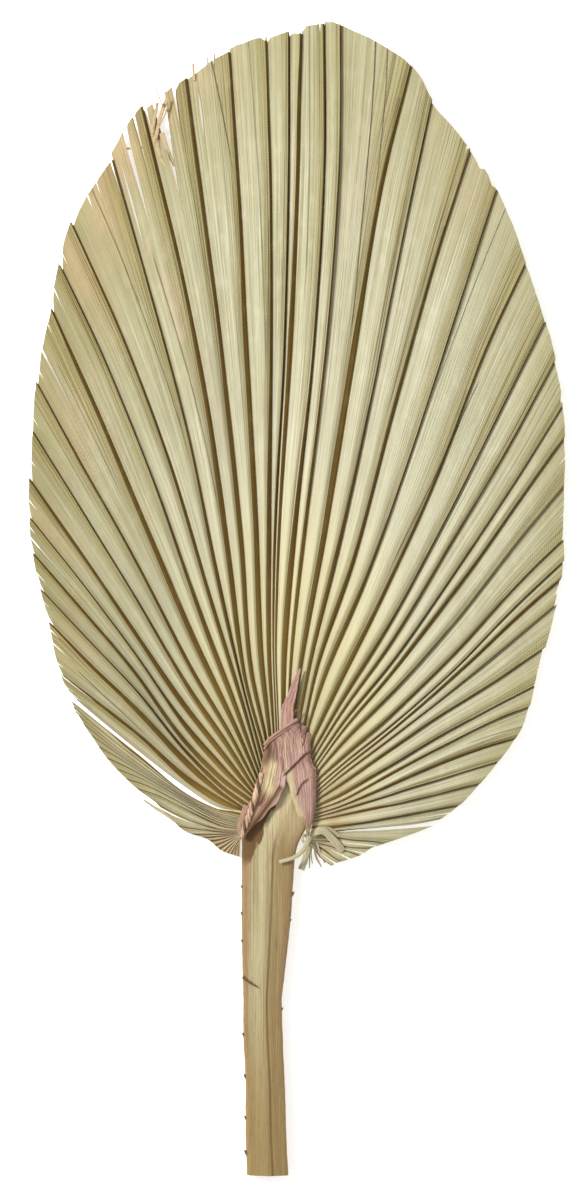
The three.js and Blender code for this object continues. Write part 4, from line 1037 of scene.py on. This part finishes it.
def stalk_material(settings):
    """Dried stalk: a pale green-tan left face, painted shade on the right face beyond the ridge,
    brown blotched margins, lengthwise fibres, a darker line of painted shade in the furrow beside
    the ridge, a painted brown shadow of the flap's left half, and a browner cut end."""
    paint = Paint("dried_stalk")
    x, y, z = paint.place()
    place = paint.attribute("place")
    cut = paint.attribute("cut")
    fibres = paint.noise(paint.vector(x * 2.4, y * 0.02, z * 1.2), 3.0, 0.65)
    fine = paint.noise(paint.vector(x * 5.0, y * 0.05, z * 2.0), 2.0, 0.6)
    bands = paint.noise(paint.vector(x * 0.8, y * 0.006, 2.0), 2.0)
    broad = paint.noise(paint.vector(x * 0.12, y * 0.02, 4.0), 2.0)
    mottle = paint.noise(paint.vector(x * 0.6, y * 0.14, 8.0), 3.0)
    colour = paint.mix(fibres.between(0.38, 0.62), settings.stalk_dark, settings.stalk_light)
    green = place.between(-0.72, -0.5) * place.between(0.05, -0.15)
    colour = paint.mix(green * broad.between(0.25, 0.55) * 0.8, colour, settings.stalk_green)
    colour = paint.mix(bands.between(0.5, 0.66) * 0.5, colour, settings.stalk_tan_and_shade)
    # Painted shade: the face right of the ridge is tan and darker, for the shade it lies in
    right = place.between(0.1, 0.22)
    colour = paint.mix(right * (0.45 + bands * 0.5), colour, settings.stalk_tan_and_shade)
    margin = abs(place).between(0.62, 0.84) * (0.55 + mottle * 0.8)
    colour = paint.mix(margin, colour, settings.stalk_margin)
    low = y.between(-140.0, -240.0)
    colour = paint.mix(low * 0.9, colour, settings.stalk_tan_and_shade)
    high = y.between(-112.0, -86.0)
    colour = paint.mix(high * 0.75, colour, settings.stalk_pale)
    # Painted shade: a darker line in the furrow beside the ridge, near the head
    furrow = abs(place - 0.2 - (y * 0.02).sine() * 0.05).between(0.09, 0.01)
    colour = paint.mix(furrow * 0.6 * y.between(-95.0, -112.0), colour, settings.stalk_brown)
    second = abs(place + 0.55 - (y * 0.03).sine() * 0.03).between(0.05, 0.0)
    colour = paint.mix(second * 0.35 * bands.between(0.35, 0.55), colour, settings.stalk_brown)
    streak = fine.between(0.56, 0.68) * mottle.between(0.4, 0.62)
    colour = paint.mix(streak * 0.6, colour, settings.stalk_brown)
    spots = paint.noise(paint.vector(x * 1.6, y * 0.5, 3.0), 2.0).between(0.66, 0.74)
    colour = paint.mix(spots * (0.3 + margin * 0.5), colour, settings.stalk_brown)
    # Painted shadow of the flap's left half on the stalk: brown with a ragged edge
    ragged = x - (y + 100.0) * 0.4 + (mottle - 0.5) * 9.0
    patch = ragged.between(-13.4, -14.6) * y.between(-118.0, -112.0)
    colour = paint.mix(patch * (0.75 + fibres * 0.5), colour, settings.stalk_shadow)
    bundles = paint.noise(paint.vector(x * 2.2, z * 2.2, 5.0), 1.0).between(0.5, 0.62)
    colour = paint.mix(cut * (0.35 + bundles * 0.5), colour, settings.stalk_brown)
    relief = fibres * 1.1 + fine * 0.6 + mottle * 0.5 + bands * 0.8
    normal = paint.bump(relief, 0.65, 0.0006)
    return paint.finish(colour, 0.5 + fibres * 0.16, normal)


def spine_material(settings):
    """Spines and the twig: brown, and as light as the stalk's margin at the spines' roots."""
    paint = Paint("stalk_spines")
    x, y, z = paint.place()
    mottle = paint.noise(paint.vector(x * 1.4, y * 1.4, z * 1.4), 2.0)
    root = paint.attribute("root")
    colour = paint.mix(root.between(0.25, 0.9), settings.stalk_brown, settings.stalk_margin)
    colour = paint.mix(mottle.between(0.45, 0.7) * 0.3, colour, settings.stalk_tan_and_shade)
    normal = paint.bump(mottle, 0.4, 0.0003)
    return paint.finish(colour, 0.5 + mottle * 0.1, normal)


# Flap

def line_field(xy, line):
    """The signed distance in millimetres to a line of picture pixels, left of it positive, and
    how far along the line, from 0 to 1."""
    path = along_line(np.stack(photo_plan(*np.array(line, float).T), -1), 16)
    nearest = np.full(xy.shape[:-1], 99.0)
    where = np.zeros(xy.shape[:-1])
    for k in range(len(path) - 1):
        p, way = path[k], path[k + 1] - path[k]
        t = np.clip(((xy - p) @ way) / (way @ way), 0, 1)
        d = xy - p - t[..., None] * way
        far = np.linalg.norm(d, axis=-1)
        closer = far < np.abs(nearest)
        nearest = np.where(closer, far * np.sign(way[0] * d[..., 1] - way[1] * d[..., 0]), nearest)
        where = np.where(closer, (k + t) / (len(path) - 1), where)
    return nearest, where


FLAP_CREASES = [
    ([(286, 772), (291, 767), (297, 761), (303, 755), (310, 750)], 0.75),
    ([(297, 792), (299, 787), (302, 782), (306, 779)], 0.4),
]
# The flap's torn right edge from its top, in picture pixels, and lengthwise slits in it: top and
# lower end and half width in mm
TORN_EDGE = [(297, 720.5), (300.6, 723), (301.2, 727.5), (302.6, 724.6), (306.4, 726), (306, 733),
             (308.6, 731.4), (310.8, 736), (311, 749), (312.6, 753.5), (316, 757)]
FLAP_SLITS = [((306, 733), (303.5, 745), 0.22), ((301.2, 727), (300.8, 733), 0.2)]
# Streaks in the flap's colour: a line in picture pixels, its half width there, its strength. The
# first brown one, below the rolled edge, is partly the flap's underside and partly painted shadow
# of the roll
BROWN_STREAKS = [
    ([(280, 787), (273, 797), (264, 810), (254, 824), (247, 834)], 3.0, 1.0),
    ([(266, 741), (269, 750), (266, 761)], 5.0, 0.85), ([(274, 739), (277, 750), (276, 760)], 1.2, 0.7),
    ([(281, 757), (283, 766), (285, 774)], 1.0, 0.6), ([(262, 768), (258, 782), (253, 796)], 1.5, 0.8),
    ([(270, 770), (273, 779), (271, 789)], 0.8, 0.6), ([(266, 790), (260, 803)], 2.5, 0.8),
]
PALE_STREAKS = [
    ([(273, 765), (270, 776), (269, 789)], 5.2, 1.0), ([(263, 776), (262, 788)], 1.5, 0.7),
    ([(285, 737), (285.5, 752), (287, 768)], 0.8, 0.8), ([(292, 733), (291.5, 750)], 0.8, 0.7),
    ([(290, 772), (292.5, 790), (297, 806), (302, 818), (307, 831)], 3.3, 1.0),
    ([(300, 736), (301, 752)], 0.7, 0.5), ([(307, 762), (308, 785)], 0.8, 0.4),
    ([(278, 742), (279, 756)], 0.7, 0.5),
]
MAUVE_STREAKS = [
    ([(282, 773), (280, 783), (277, 790)], 3.5, 1.0), ([(303, 770), (305, 790), (306, 808)], 4.0, 0.5),
    ([(297, 740), (300, 750)], 3.0, 0.5), ([(276, 797), (268, 808), (258, 822)], 1.6, 0.7),
]


def streaks_at(xy, streaks):
    """How much of any streak covers each place, softly to its half width and past its ends."""
    total = np.zeros(xy.shape[:-1])
    for line, half, strength in streaks:
        d, _ = line_field(xy, line)
        total = np.maximum(total, strength * np.exp(-(d / (half * PIXEL)) ** 2))
    return total


def flap_surface(rows=150, columns=34):
    """The flap's lower face in two halves that part below the row FLAP_PARTING.

    Across a half the place goes evenly from its outer to its inner edge, and down it on a smooth
    curve through the rows. Its height is a base plus lengthwise wrinkles, a step at each crease,
    a droop at its outer edges, and on the left half a curl of the inner edge.
    """
    r = np.linspace(0, len(FLAP_ROWS) - 1, rows)
    edges = np.stack([along_line(FLAP_ROWS[:, k], rows) for k in range(4)])
    parted = r > FLAP_PARTING
    shared = (edges[1] + edges[2]) / 2
    edges[1] = np.where(parted[:, None], edges[1], shared)
    edges[2] = np.where(parted[:, None], edges[2], shared)
    torn = np.stack(photo_plan(*np.array(TORN_EDGE).T), -1)
    whole = ~parted
    share = np.linspace(0, 1, whole.sum())
    length = np.concatenate([[0], np.cumsum(np.linalg.norm(np.diff(torn, axis=0), axis=1))])
    ragged = np.stack([np.interp(share * length[-1], length, torn[:, k]) for k in (0, 1)], -1)
    ragged += (edges[3][whole][-1] - ragged[-1]) * smoothstep(share, 0.6, 1)[:, None]
    edges[3][whole] = ragged
    for k, way in ((0, 1), (3, -1)):
        edges[k][:, 0] += way * 0.13 * (1 + draw(np.arange(rows), 11 + k))
    t = np.linspace(0, 1, columns)[:, None, None]
    halves = [edges[0] + (edges[1] - edges[0]) * t, edges[2] + (edges[3] - edges[2]) * t]
    made = []
    for side, plan in enumerate(halves):
        s = t[..., 0]
        run = s * 11 + side * 14 + 0.12 * ripples(s * 3, r[None, :] * 0.8, 40 + side)
        wrinkles = 0.3 * ripples(run * 1.6, r[None, :] * 0.3, 50 + side)
        fine = 0.1 * np.sin(run * 6.1 + 0.5 * ripples(s * 2, r[None, :], 60 + side))
        z = FLAP_HEIGHT + 0.55 + wrinkles + fine
        outer = s if side == 0 else 1 - s
        z = z - EDGE_DROOP * np.exp(-(outer / 0.1) ** 2)
        if side == 0:
            z = z + 1.6 * s ** 3 * smoothstep(r[None, :], 3.6, 5.6)
            z = z - 0.5 * np.exp(-((s - 0.45) / 0.2) ** 2) * smoothstep(r[None, :], 5, 7)
        for line, height in FLAP_CREASES:
            d, _ = line_field(plan, line)
            raised = height * np.exp(-(d / 2.2) ** 2) * (d >= 0)
            sunk = 0.5 * height * np.exp(-(d / 0.8) ** 2) * (d < 0)
            z = z + raised - sunk
        for top, end, half in FLAP_SLITS:
            d, where = line_field(plan, [top, end])
            z = z - 0.9 * np.exp(-(d / half) ** 2) * (where < 0.98)
        made.append(np.concatenate([plan, np.clip(z, *FLAP_RANGE)[..., None]], -1))
    points = np.concatenate(made)
    points[columns][~parted] = points[columns - 1][~parted]
    return points, parted


def flap_mesh(material):
    """The flap as a closed shell: the two halves share their inner column down to the parting."""
    points, parted = flap_surface()
    count, rows = points.shape[:2]
    half = count // 2
    index = grid_index(count, rows)
    index[half][~parted] = index[half - 1][~parted]
    gaps = np.zeros(count - 1, bool)
    gaps[half - 1] = True
    vertices, quads, source, _ = closed_sheet(points.reshape(-1, 3), index, gaps, FLAP_THICKNESS)
    xy = points[..., :2]
    # Painted shade: dark on the low side of each crease, where its raised side casts a shadow, and along each
    # slit
    dark = np.zeros(xy.shape[:-1])
    for line, _ in FLAP_CREASES:
        d, _ = line_field(xy, line)
        dark = np.maximum(dark, np.exp(-((d + 0.55) / 0.5) ** 2))
    for top, end, width in FLAP_SLITS:
        d, where = line_field(xy, [top, end])
        dark = np.maximum(dark, np.exp(-(d / width) ** 2) * (where < 0.98))
    columns = np.arange(count)[:, None] + np.zeros(rows)
    uv = np.stack([columns * FLAP_COLUMN, xy[..., 1]], -1).reshape(-1, 2)[source]
    attributes = {"crease": dark, "pale": streaks_at(xy, PALE_STREAKS),
                  "brown": streaks_at(xy, BROWN_STREAKS), "mauve": streaks_at(xy, MAUVE_STREAKS)}
    attributes = {key: value.reshape(-1)[source] for key, value in attributes.items()}
    piece = mesh_piece("hastula_flap", vertices, quads, material, uv, attributes)
    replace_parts(piece, "hastula")


def twisted(line, radius, turns, strands, width, lift):
    """Strands wound round a centre line: each is a helix of a radius that narrows at its ends."""
    path = along_line(line, 60)
    tangent = np.gradient(path, axis=0)
    tangent /= np.linalg.norm(tangent, axis=1)[:, None]
    side = np.cross(tangent, [0, 0, 1.0])
    up = np.cross(side, tangent)
    s = np.linspace(0, 1, len(path))
    made = []
    for k in range(strands):
        angle = 2 * np.pi * (turns * s + k / strands) + 0.5 * np.sin(s * 9 + k)
        reach = radius * (0.45 + 0.55 * np.sqrt(np.clip(np.sin(np.pi * s), 0, 1))) * (1 + 0.2 * draw(k, 7))
        wound = path + reach[:, None] * (np.cos(angle)[:, None] * side + np.sin(angle)[:, None] * up)
        wound[:, 2] += lift
        made.append((wound, (width, width * 0.8), 0.25, 0.4))
    return made


def flap_material(settings):
    """Papery flap: mauve pink with lengthwise streaks, cream strips, brown streaks, of which the one
    below the rolled edge is partly its underside and partly painted shadow of the roll, a pale
    yellow patch, and painted shade beside its creases and in its slits."""
    paint = Paint("papery_flap")
    across, along = paint.grain()
    x, y, _ = paint.place()
    streaks = paint.noise(paint.vector(across * 1.5, along * 0.08), 3.0, 0.65)
    fine = paint.noise(paint.vector(across * 4.5, along * 0.15, 3.0), 2.0, 0.6)
    mottle = paint.noise(paint.vector(x * 0.35, y * 0.22, 6.0), 3.0)
    colour = paint.mix(streaks.between(0.38, 0.62), settings.flap_dark, settings.flap_pink)
    colour = paint.mix(mottle.between(0.45, 0.7) * 0.4, colour, settings.flap_tan)
    colour = paint.mix(fine.between(0.4, 0.3) * 0.5, colour, settings.flap_light)
    left = x.between(-8.0, -13.0)
    colour = paint.mix(left * (0.35 + streaks * 0.5), colour, settings.flap_tan)
    colour = paint.mix(paint.attribute("mauve") * (0.4 + streaks * 0.8), colour, settings.flap_light)
    # Brown streaks; the one below the rolled edge is partly painted shadow of the roll
    brown = paint.attribute("brown") * (0.75 + fine * 0.5)
    colour = paint.mix(brown, colour, settings.flap_umber_and_shadow)
    pale = paint.attribute("pale") * (0.7 + fine * 0.6)
    colour = paint.mix(pale, colour, settings.flap_pale)
    colour = paint.mix(fine.between(0.57, 0.68) * 0.45, colour, settings.flap_brown_and_shade)
    # Painted shade beside the creases and in the slits
    colour = paint.mix(paint.attribute("crease") * 0.85, colour, settings.flap_brown_and_shade)
    relief = streaks * 1.4 + fine * 1.0 + mottle * 0.6
    normal = paint.bump(relief, 0.7, 0.0007)
    return paint.finish(colour, 0.66 + fine * 0.14, normal)


def rope_material(settings):
    """The flap's twisted edge: tan strands with brown blotches. The last strand and the loose
    curl, which lie beyond 70 mm across in the map, are umber."""
    paint = Paint("twisted_edge")
    across, along = paint.grain()
    x, y, z = paint.place()
    fine = paint.noise(paint.vector(across * 3.0, along * 0.2), 3.0, 0.6)
    mottle = paint.noise(paint.vector(x * 0.5, y * 0.4, z * 0.5), 3.0)
    colour = paint.mix(fine.between(0.35, 0.65), settings.flap_tan, settings.flap_rope)
    colour = paint.mix(mottle.between(0.45, 0.66) * 0.25, colour, settings.flap_umber_and_shadow)
    dark_strands = across.between(70.0, 80.0)
    colour = paint.mix(dark_strands * 0.9, colour, settings.flap_umber_and_shadow)
    normal = paint.bump(fine + mottle * 0.5, 0.6, 0.0005)
    return paint.finish(colour, 0.62 + fine * 0.14, normal)


# Settings

def colour_property(name, words, default):
    return FloatVectorProperty(name=name, description=words, default=default, subtype="COLOR",
                               min=0, max=1, size=3)


def length_property(name, words, default):
    return FloatProperty(name=name, description=words, default=default, min=0.0001, unit="LENGTH",
                         subtype="DISTANCE", precision=4)


class PalmBladeSettings(bpy.types.PropertyGroup):
    thickness: length_property("Thickness", "Thickness of the leaf's sheet", 0.0007)
    pleat_depth: length_property("Pleat depth", "Height of the deepest pleat", 0.004)
    face_light: colour_property("Face", "Lit side of a pleat", (0.625, 0.61, 0.465))
    face_dark: colour_property("Face veins", "Veins in the lit side", (0.475, 0.445, 0.28))
    face_olive: colour_property("Face olive", "Greener streaks", (0.37, 0.335, 0.175))
    face_warm: colour_property("Face warm", "Lit side near the joint", (0.83, 0.755, 0.45))
    # Cream patches, and the painted highlight on ridges and on the lobes' thin crests
    face_cream_and_highlight: colour_property("Face cream", "Paler patches and worn edges", (0.745, 0.72, 0.545))
    line: colour_property("Fine lines", "Fine dark lines along the fibres", (0.17, 0.145, 0.06))
    # Painted shade for a pleat's face past its crest, and the same in the tan parts, which also tints the
    # shaded side there
    turned: colour_property("Turned face", "Face past its crest", (0.41, 0.325, 0.10))
    turned_tan_shade: colour_property("Turned tan", "The same in the tan parts", (0.33, 0.20, 0.075))
    # Painted shade for a pleat's shaded side: olive near the joint, dark brown further out, darkest at its
    # bottom. The brown is also the painted shade in the lobes' thin folds and the real brown of the frayed
    # tips
    shade_olive: colour_property("Shaded olive", "Shaded side near the joint", (0.31, 0.225, 0.065))
    shade_brown: colour_property("Shaded brown", "Shaded side further out", (0.205, 0.115, 0.024))
    shade_deep: colour_property("Shaded deep", "Bottom of the shaded side", (0.13, 0.07, 0.012))
    # Painted shade line in the folds and in the short creases
    crease_line_shade: colour_property("Crack", "Dark line in a fold", (0.075, 0.042, 0.012))
    tan: colour_property("Tan", "Tan patches at the rim and the joint", (0.58, 0.42, 0.255))
    pink: colour_property("Pink", "Pinkish flush", (0.62, 0.44, 0.33))
    stain: colour_property("Stain", "Orange-brown stains", (0.46, 0.25, 0.10))


class PalmStalkSettings(bpy.types.PropertyGroup):
    stalk_light: colour_property("Stalk", "Stalk's middle", (0.58, 0.49, 0.31))
    stalk_dark: colour_property("Stalk fibres", "Darker fibres", (0.38, 0.295, 0.15))
    stalk_green: colour_property("Stalk green", "Green flush", (0.52, 0.48, 0.29))
    # Tan of the bands, the lower end and the spines, and the painted shade of the right face
    stalk_tan_and_shade: colour_property("Stalk tan", "Right side and lower end", (0.34, 0.235, 0.10))
    stalk_margin: colour_property("Stalk margin", "Margins", (0.34, 0.22, 0.115))
    stalk_pale: colour_property("Stalk pale", "Pale end under the flap", (0.71, 0.60, 0.37))
    # Painted shadow of the flap's left half on the stalk
    stalk_shadow: colour_property("Stalk patch", "Brown patch under the flap", (0.165, 0.09, 0.04))
    stalk_brown: colour_property("Stalk brown", "Marks, furrow and cut end", (0.13, 0.07, 0.028))


class PalmFlapSettings(bpy.types.PropertyGroup):
    flap_pink: colour_property("Flap", "Flap", (0.62, 0.39, 0.35))
    flap_dark: colour_property("Flap streaks", "Darker streaks", (0.37, 0.205, 0.18))
    flap_light: colour_property("Flap light", "Lighter streaks", (0.70, 0.495, 0.44))
    flap_tan: colour_property("Flap tan", "Tan side", (0.47, 0.295, 0.185))
    flap_pale: colour_property("Flap pale", "Pale patch and cream strips", (0.72, 0.61, 0.37))
    # Brown below the rolled edge, partly painted shadow of the roll, and the dark strands of the twisted edge
    flap_umber_and_shadow: colour_property("Flap umber", "Folded-over part", (0.135, 0.068, 0.032))
    # Fibre streaks, and painted shade at the creases and slits
    flap_brown_and_shade: colour_property("Flap brown", "Creases", (0.14, 0.07, 0.05))
    flap_rope: colour_property("Flap rope", "Twisted edge", (0.82, 0.61, 0.44))


class PalmStageSettings(bpy.types.PropertyGroup):
    floor: colour_property("Floor", "Floor's colour", (0.86, 0.86, 0.86))
    glow: FloatProperty(name="Light table", description="How bright the floor shines by itself",
                        default=0.55, min=0)
    key_power: FloatProperty(name="Key light", description="Power of the key light",
                             default=21.0, min=0, unit="POWER")
    ambient: FloatProperty(name="Room light", description="Brightness of the white room",
                           default=0.58, min=0)


# Operators

class PALM_OT_blade(bpy.types.Operator):
    """Builds the three fans of the pleated blade"""
    bl_idname = "palm_leaf.blade"
    bl_label = "Build blade"

    def execute(self, context):
        material = leaf_material(context.scene.palm_blade)
        made = {name: fan_surface(name) for name in FANS}
        names = list(FANS)
        for k, (held, free) in enumerate(SEAMS):
            join_fans(made[names[k]][1], made[names[k + 1]][1], held, free)
        for name, (columns, points, facts) in made.items():
            blade_piece(name, columns, points, facts, material)
        return {"FINISHED"}


class PALM_OT_strips(bpy.types.Operator):
    """Builds the torn strips and the frayed tips of the blade"""
    bl_idname = "palm_leaf.strips"
    bl_label = "Build torn strips"

    def execute(self, context):
        material = strip_material(context.scene.palm_blade)
        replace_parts(ribbons("blade_torn_strips", TORN_STRIPS, material), "blade")
        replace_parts(ribbons("blade_frayed_tips", FRAYED_TIPS, material), "blade")
        return {"FINISHED"}


class PALM_OT_stalk(bpy.types.Operator):
    """Builds the stalk, its spine stubs and its twig-like spine"""
    bl_idname = "palm_leaf.stalk"
    bl_label = "Build stalk"

    def execute(self, context):
        settings = context.scene.palm_stalk
        stalk_mesh(stalk_material(settings))
        roots, tips, radii = [], [], []
        for k, (places, column, way) in enumerate(((LEFT_SPINES, 1, -1), (RIGHT_SPINES, 2, 1))):
            for n, (y, size) in enumerate(places):
                x = np.interp(y, STALK_SECTIONS[:, 0], STALK_SECTIONS[:, column])
                roots.append([x - way * SPINE_DEPTH, y - size, SPINE_ROOT])
                tips.append([x + way * size * (0.95 + 0.2 * draw(n, k)), y + size * 1.1, SPINE_TIP])
                radii.append(1.2 * size + 0.1 * draw(n, 6 + k))
        material = spine_material(settings)
        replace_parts(cones("petiole_spines", roots, tips, radii, material), "petiole")
        twig = ribbons("petiole_twig_spine", [(TWIG, (1.5, 0.6), 0.4, 0.5)], material)
        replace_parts(twig, "petiole")
        return {"FINISHED"}


class PALM_OT_flap(bpy.types.Operator):
    """Builds the papery flap with its tongue, rolled edge, shred and twisted edge"""
    bl_idname = "palm_leaf.flap"
    bl_label = "Build flap"

    def execute(self, context):
        material = flap_material(context.scene.palm_flap)
        flap_mesh(material)
        extras = (("hastula_tongue", [TONGUE], 0.3), ("hastula_rolled_edge", ROLLED_EDGE, 0.0),
                  ("hastula_shred", [PINK_SHRED], 0.2))
        for name, strips, curl in extras:
            piece = ribbons(name, strips, material, FLAP_HEIGHT + 0.1, curl)
            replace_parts(piece, "hastula")
        strands = twisted(ROPE, 0.85, 3.2, 4, 1.25, FLAP_HEIGHT + 0.3)
        strands.append((np.array(LOOSE_CURL) + [0, 0, FLAP_HEIGHT], (1.3, 0.6), 0.1, 0.4))
        rope = ribbons("hastula_twisted_edge", strands, rope_material(context.scene.palm_flap))
        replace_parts(rope, "hastula")
        return {"FINISHED"}


# The floor's half side and its level, in metres, just under the leaf
FLOOR_REACH, FLOOR_LEVEL = 3, -0.0003
# The camera's focal length and sensor in millimetres, the middle of its view, how tall a view it
# takes in, and at what level, in metres
LENS, SENSOR = 85, 36
VIEW_MIDDLE = (-0.0029, -0.00124)
VIEW_HEIGHT, VIEW_LEVEL = 0.5208, 0.003
# The key light's side and its place, in metres
LAMP_SIDE = 0.32
LAMP_PLACE = (-0.88, 0.5, 1.12)


class PALM_OT_stage(bpy.types.Operator):
    """Builds the pale floor, the soft studio light and the camera that looks straight down"""
    bl_idname = "palm_leaf.stage"
    bl_label = "Build stage"

    def execute(self, context):
        scene = context.scene
        settings = scene.palm_stage
        mesh = bpy.data.meshes.new("floor")
        corners = [(x * FLOOR_REACH, y * FLOOR_REACH, FLOOR_LEVEL)
                   for x, y in ((-1, -1), (1, -1), (1, 1), (-1, 1))]
        mesh.from_pydata(corners, [], [(0, 1, 2, 3)])
        paint = Paint("pale_floor")
        x, y, _ = paint.place()
        cloud = paint.noise(paint.vector(x * 0.01, y * 0.01), 2.0)
        pale = paint.mix(cloud.between(0.3, 0.7) * 0.02, settings.floor, (0.8, 0.8, 0.8))
        mesh.materials.append(paint.finish(pale, 0.8 + cloud * 0.05, paint.bump(cloud, 0.05, 0.0002),
                                           settings.glow))
        floor = bpy.data.objects.new("floor", mesh)
        scene.collection.objects.link(floor)
        world = bpy.data.worlds.new("white_room")
        world.use_nodes = True
        background = world.node_tree.nodes["Background"]
        background.inputs["Color"].default_value = (1.0, 0.995, 0.945, 1)
        background.inputs["Strength"].default_value = settings.ambient
        scene.world = world
        lamp = bpy.data.lights.new("key_light", "AREA")
        lamp.shape = "RECTANGLE"
        lamp.size = LAMP_SIDE
        lamp.size_y = LAMP_SIDE
        lamp.energy = settings.key_power
        lamp.color = (1.0, 0.985, 0.92)
        key = bpy.data.objects.new("key_light", lamp)
        key.location = LAMP_PLACE
        towards = -key.location
        key.rotation_mode = "QUATERNION"
        key.rotation_quaternion = towards.to_track_quat("-Z", "Y")
        scene.collection.objects.link(key)
        lens = bpy.data.cameras.new("camera")
        lens.lens = LENS
        lens.sensor_width = SENSOR
        camera = bpy.data.objects.new("camera", lens)
        camera.location = (*VIEW_MIDDLE, VIEW_HEIGHT * LENS / SENSOR + VIEW_LEVEL)
        scene.collection.objects.link(camera)
        scene.camera = camera
        scene.view_settings.view_transform = "Standard"
        return {"FINISHED"}


class PALM_PT_panel(bpy.types.Panel):
    """Lists what the leaf is built from"""
    bl_label = "Fan palm leaf"
    bl_idname = "PALM_PT_panel"
    bl_space_type = "VIEW_3D"
    bl_region_type = "UI"
    bl_category = "Palm Leaf"

    def draw(self, context):
        groups = (("palm_blade", (PALM_OT_blade, PALM_OT_strips)), ("palm_stalk", (PALM_OT_stalk,)),
                  ("palm_flap", (PALM_OT_flap,)), ("palm_stage", (PALM_OT_stage,)))
        for key, operators in groups:
            settings = getattr(context.scene, key)
            box = self.layout.box()
            for name in settings.__annotations__:
                box.prop(settings, name)
            for operator in operators:
                box.operator(operator.bl_idname)


SETTINGS = {
    "palm_blade": PalmBladeSettings,
    "palm_stalk": PalmStalkSettings,
    "palm_flap": PalmFlapSettings,
    "palm_stage": PalmStageSettings,
}
OPERATORS = (PALM_OT_blade, PALM_OT_strips, PALM_OT_stalk, PALM_OT_flap, PALM_OT_stage)


def register():
    for key, group in SETTINGS.items():
        bpy.utils.register_class(group)
        setattr(bpy.types.Scene, key, PointerProperty(type=group))
    for operator in OPERATORS:
        bpy.utils.register_class(operator)
    bpy.utils.register_class(PALM_PT_panel)


def unregister():
    bpy.utils.unregister_class(PALM_PT_panel)
    for operator in reversed(OPERATORS):
        bpy.utils.unregister_class(operator)
    for key, group in SETTINGS.items():
        delattr(bpy.types.Scene, key)
        bpy.utils.unregister_class(group)


def main():
    register()
    bpy.ops.palm_leaf.stage()
    bpy.ops.palm_leaf.blade()
    bpy.ops.palm_leaf.strips()
    bpy.ops.palm_leaf.stalk()
    bpy.ops.palm_leaf.flap()
    bpy.context.view_layer.update()


if __name__ == "__main__":
    main()
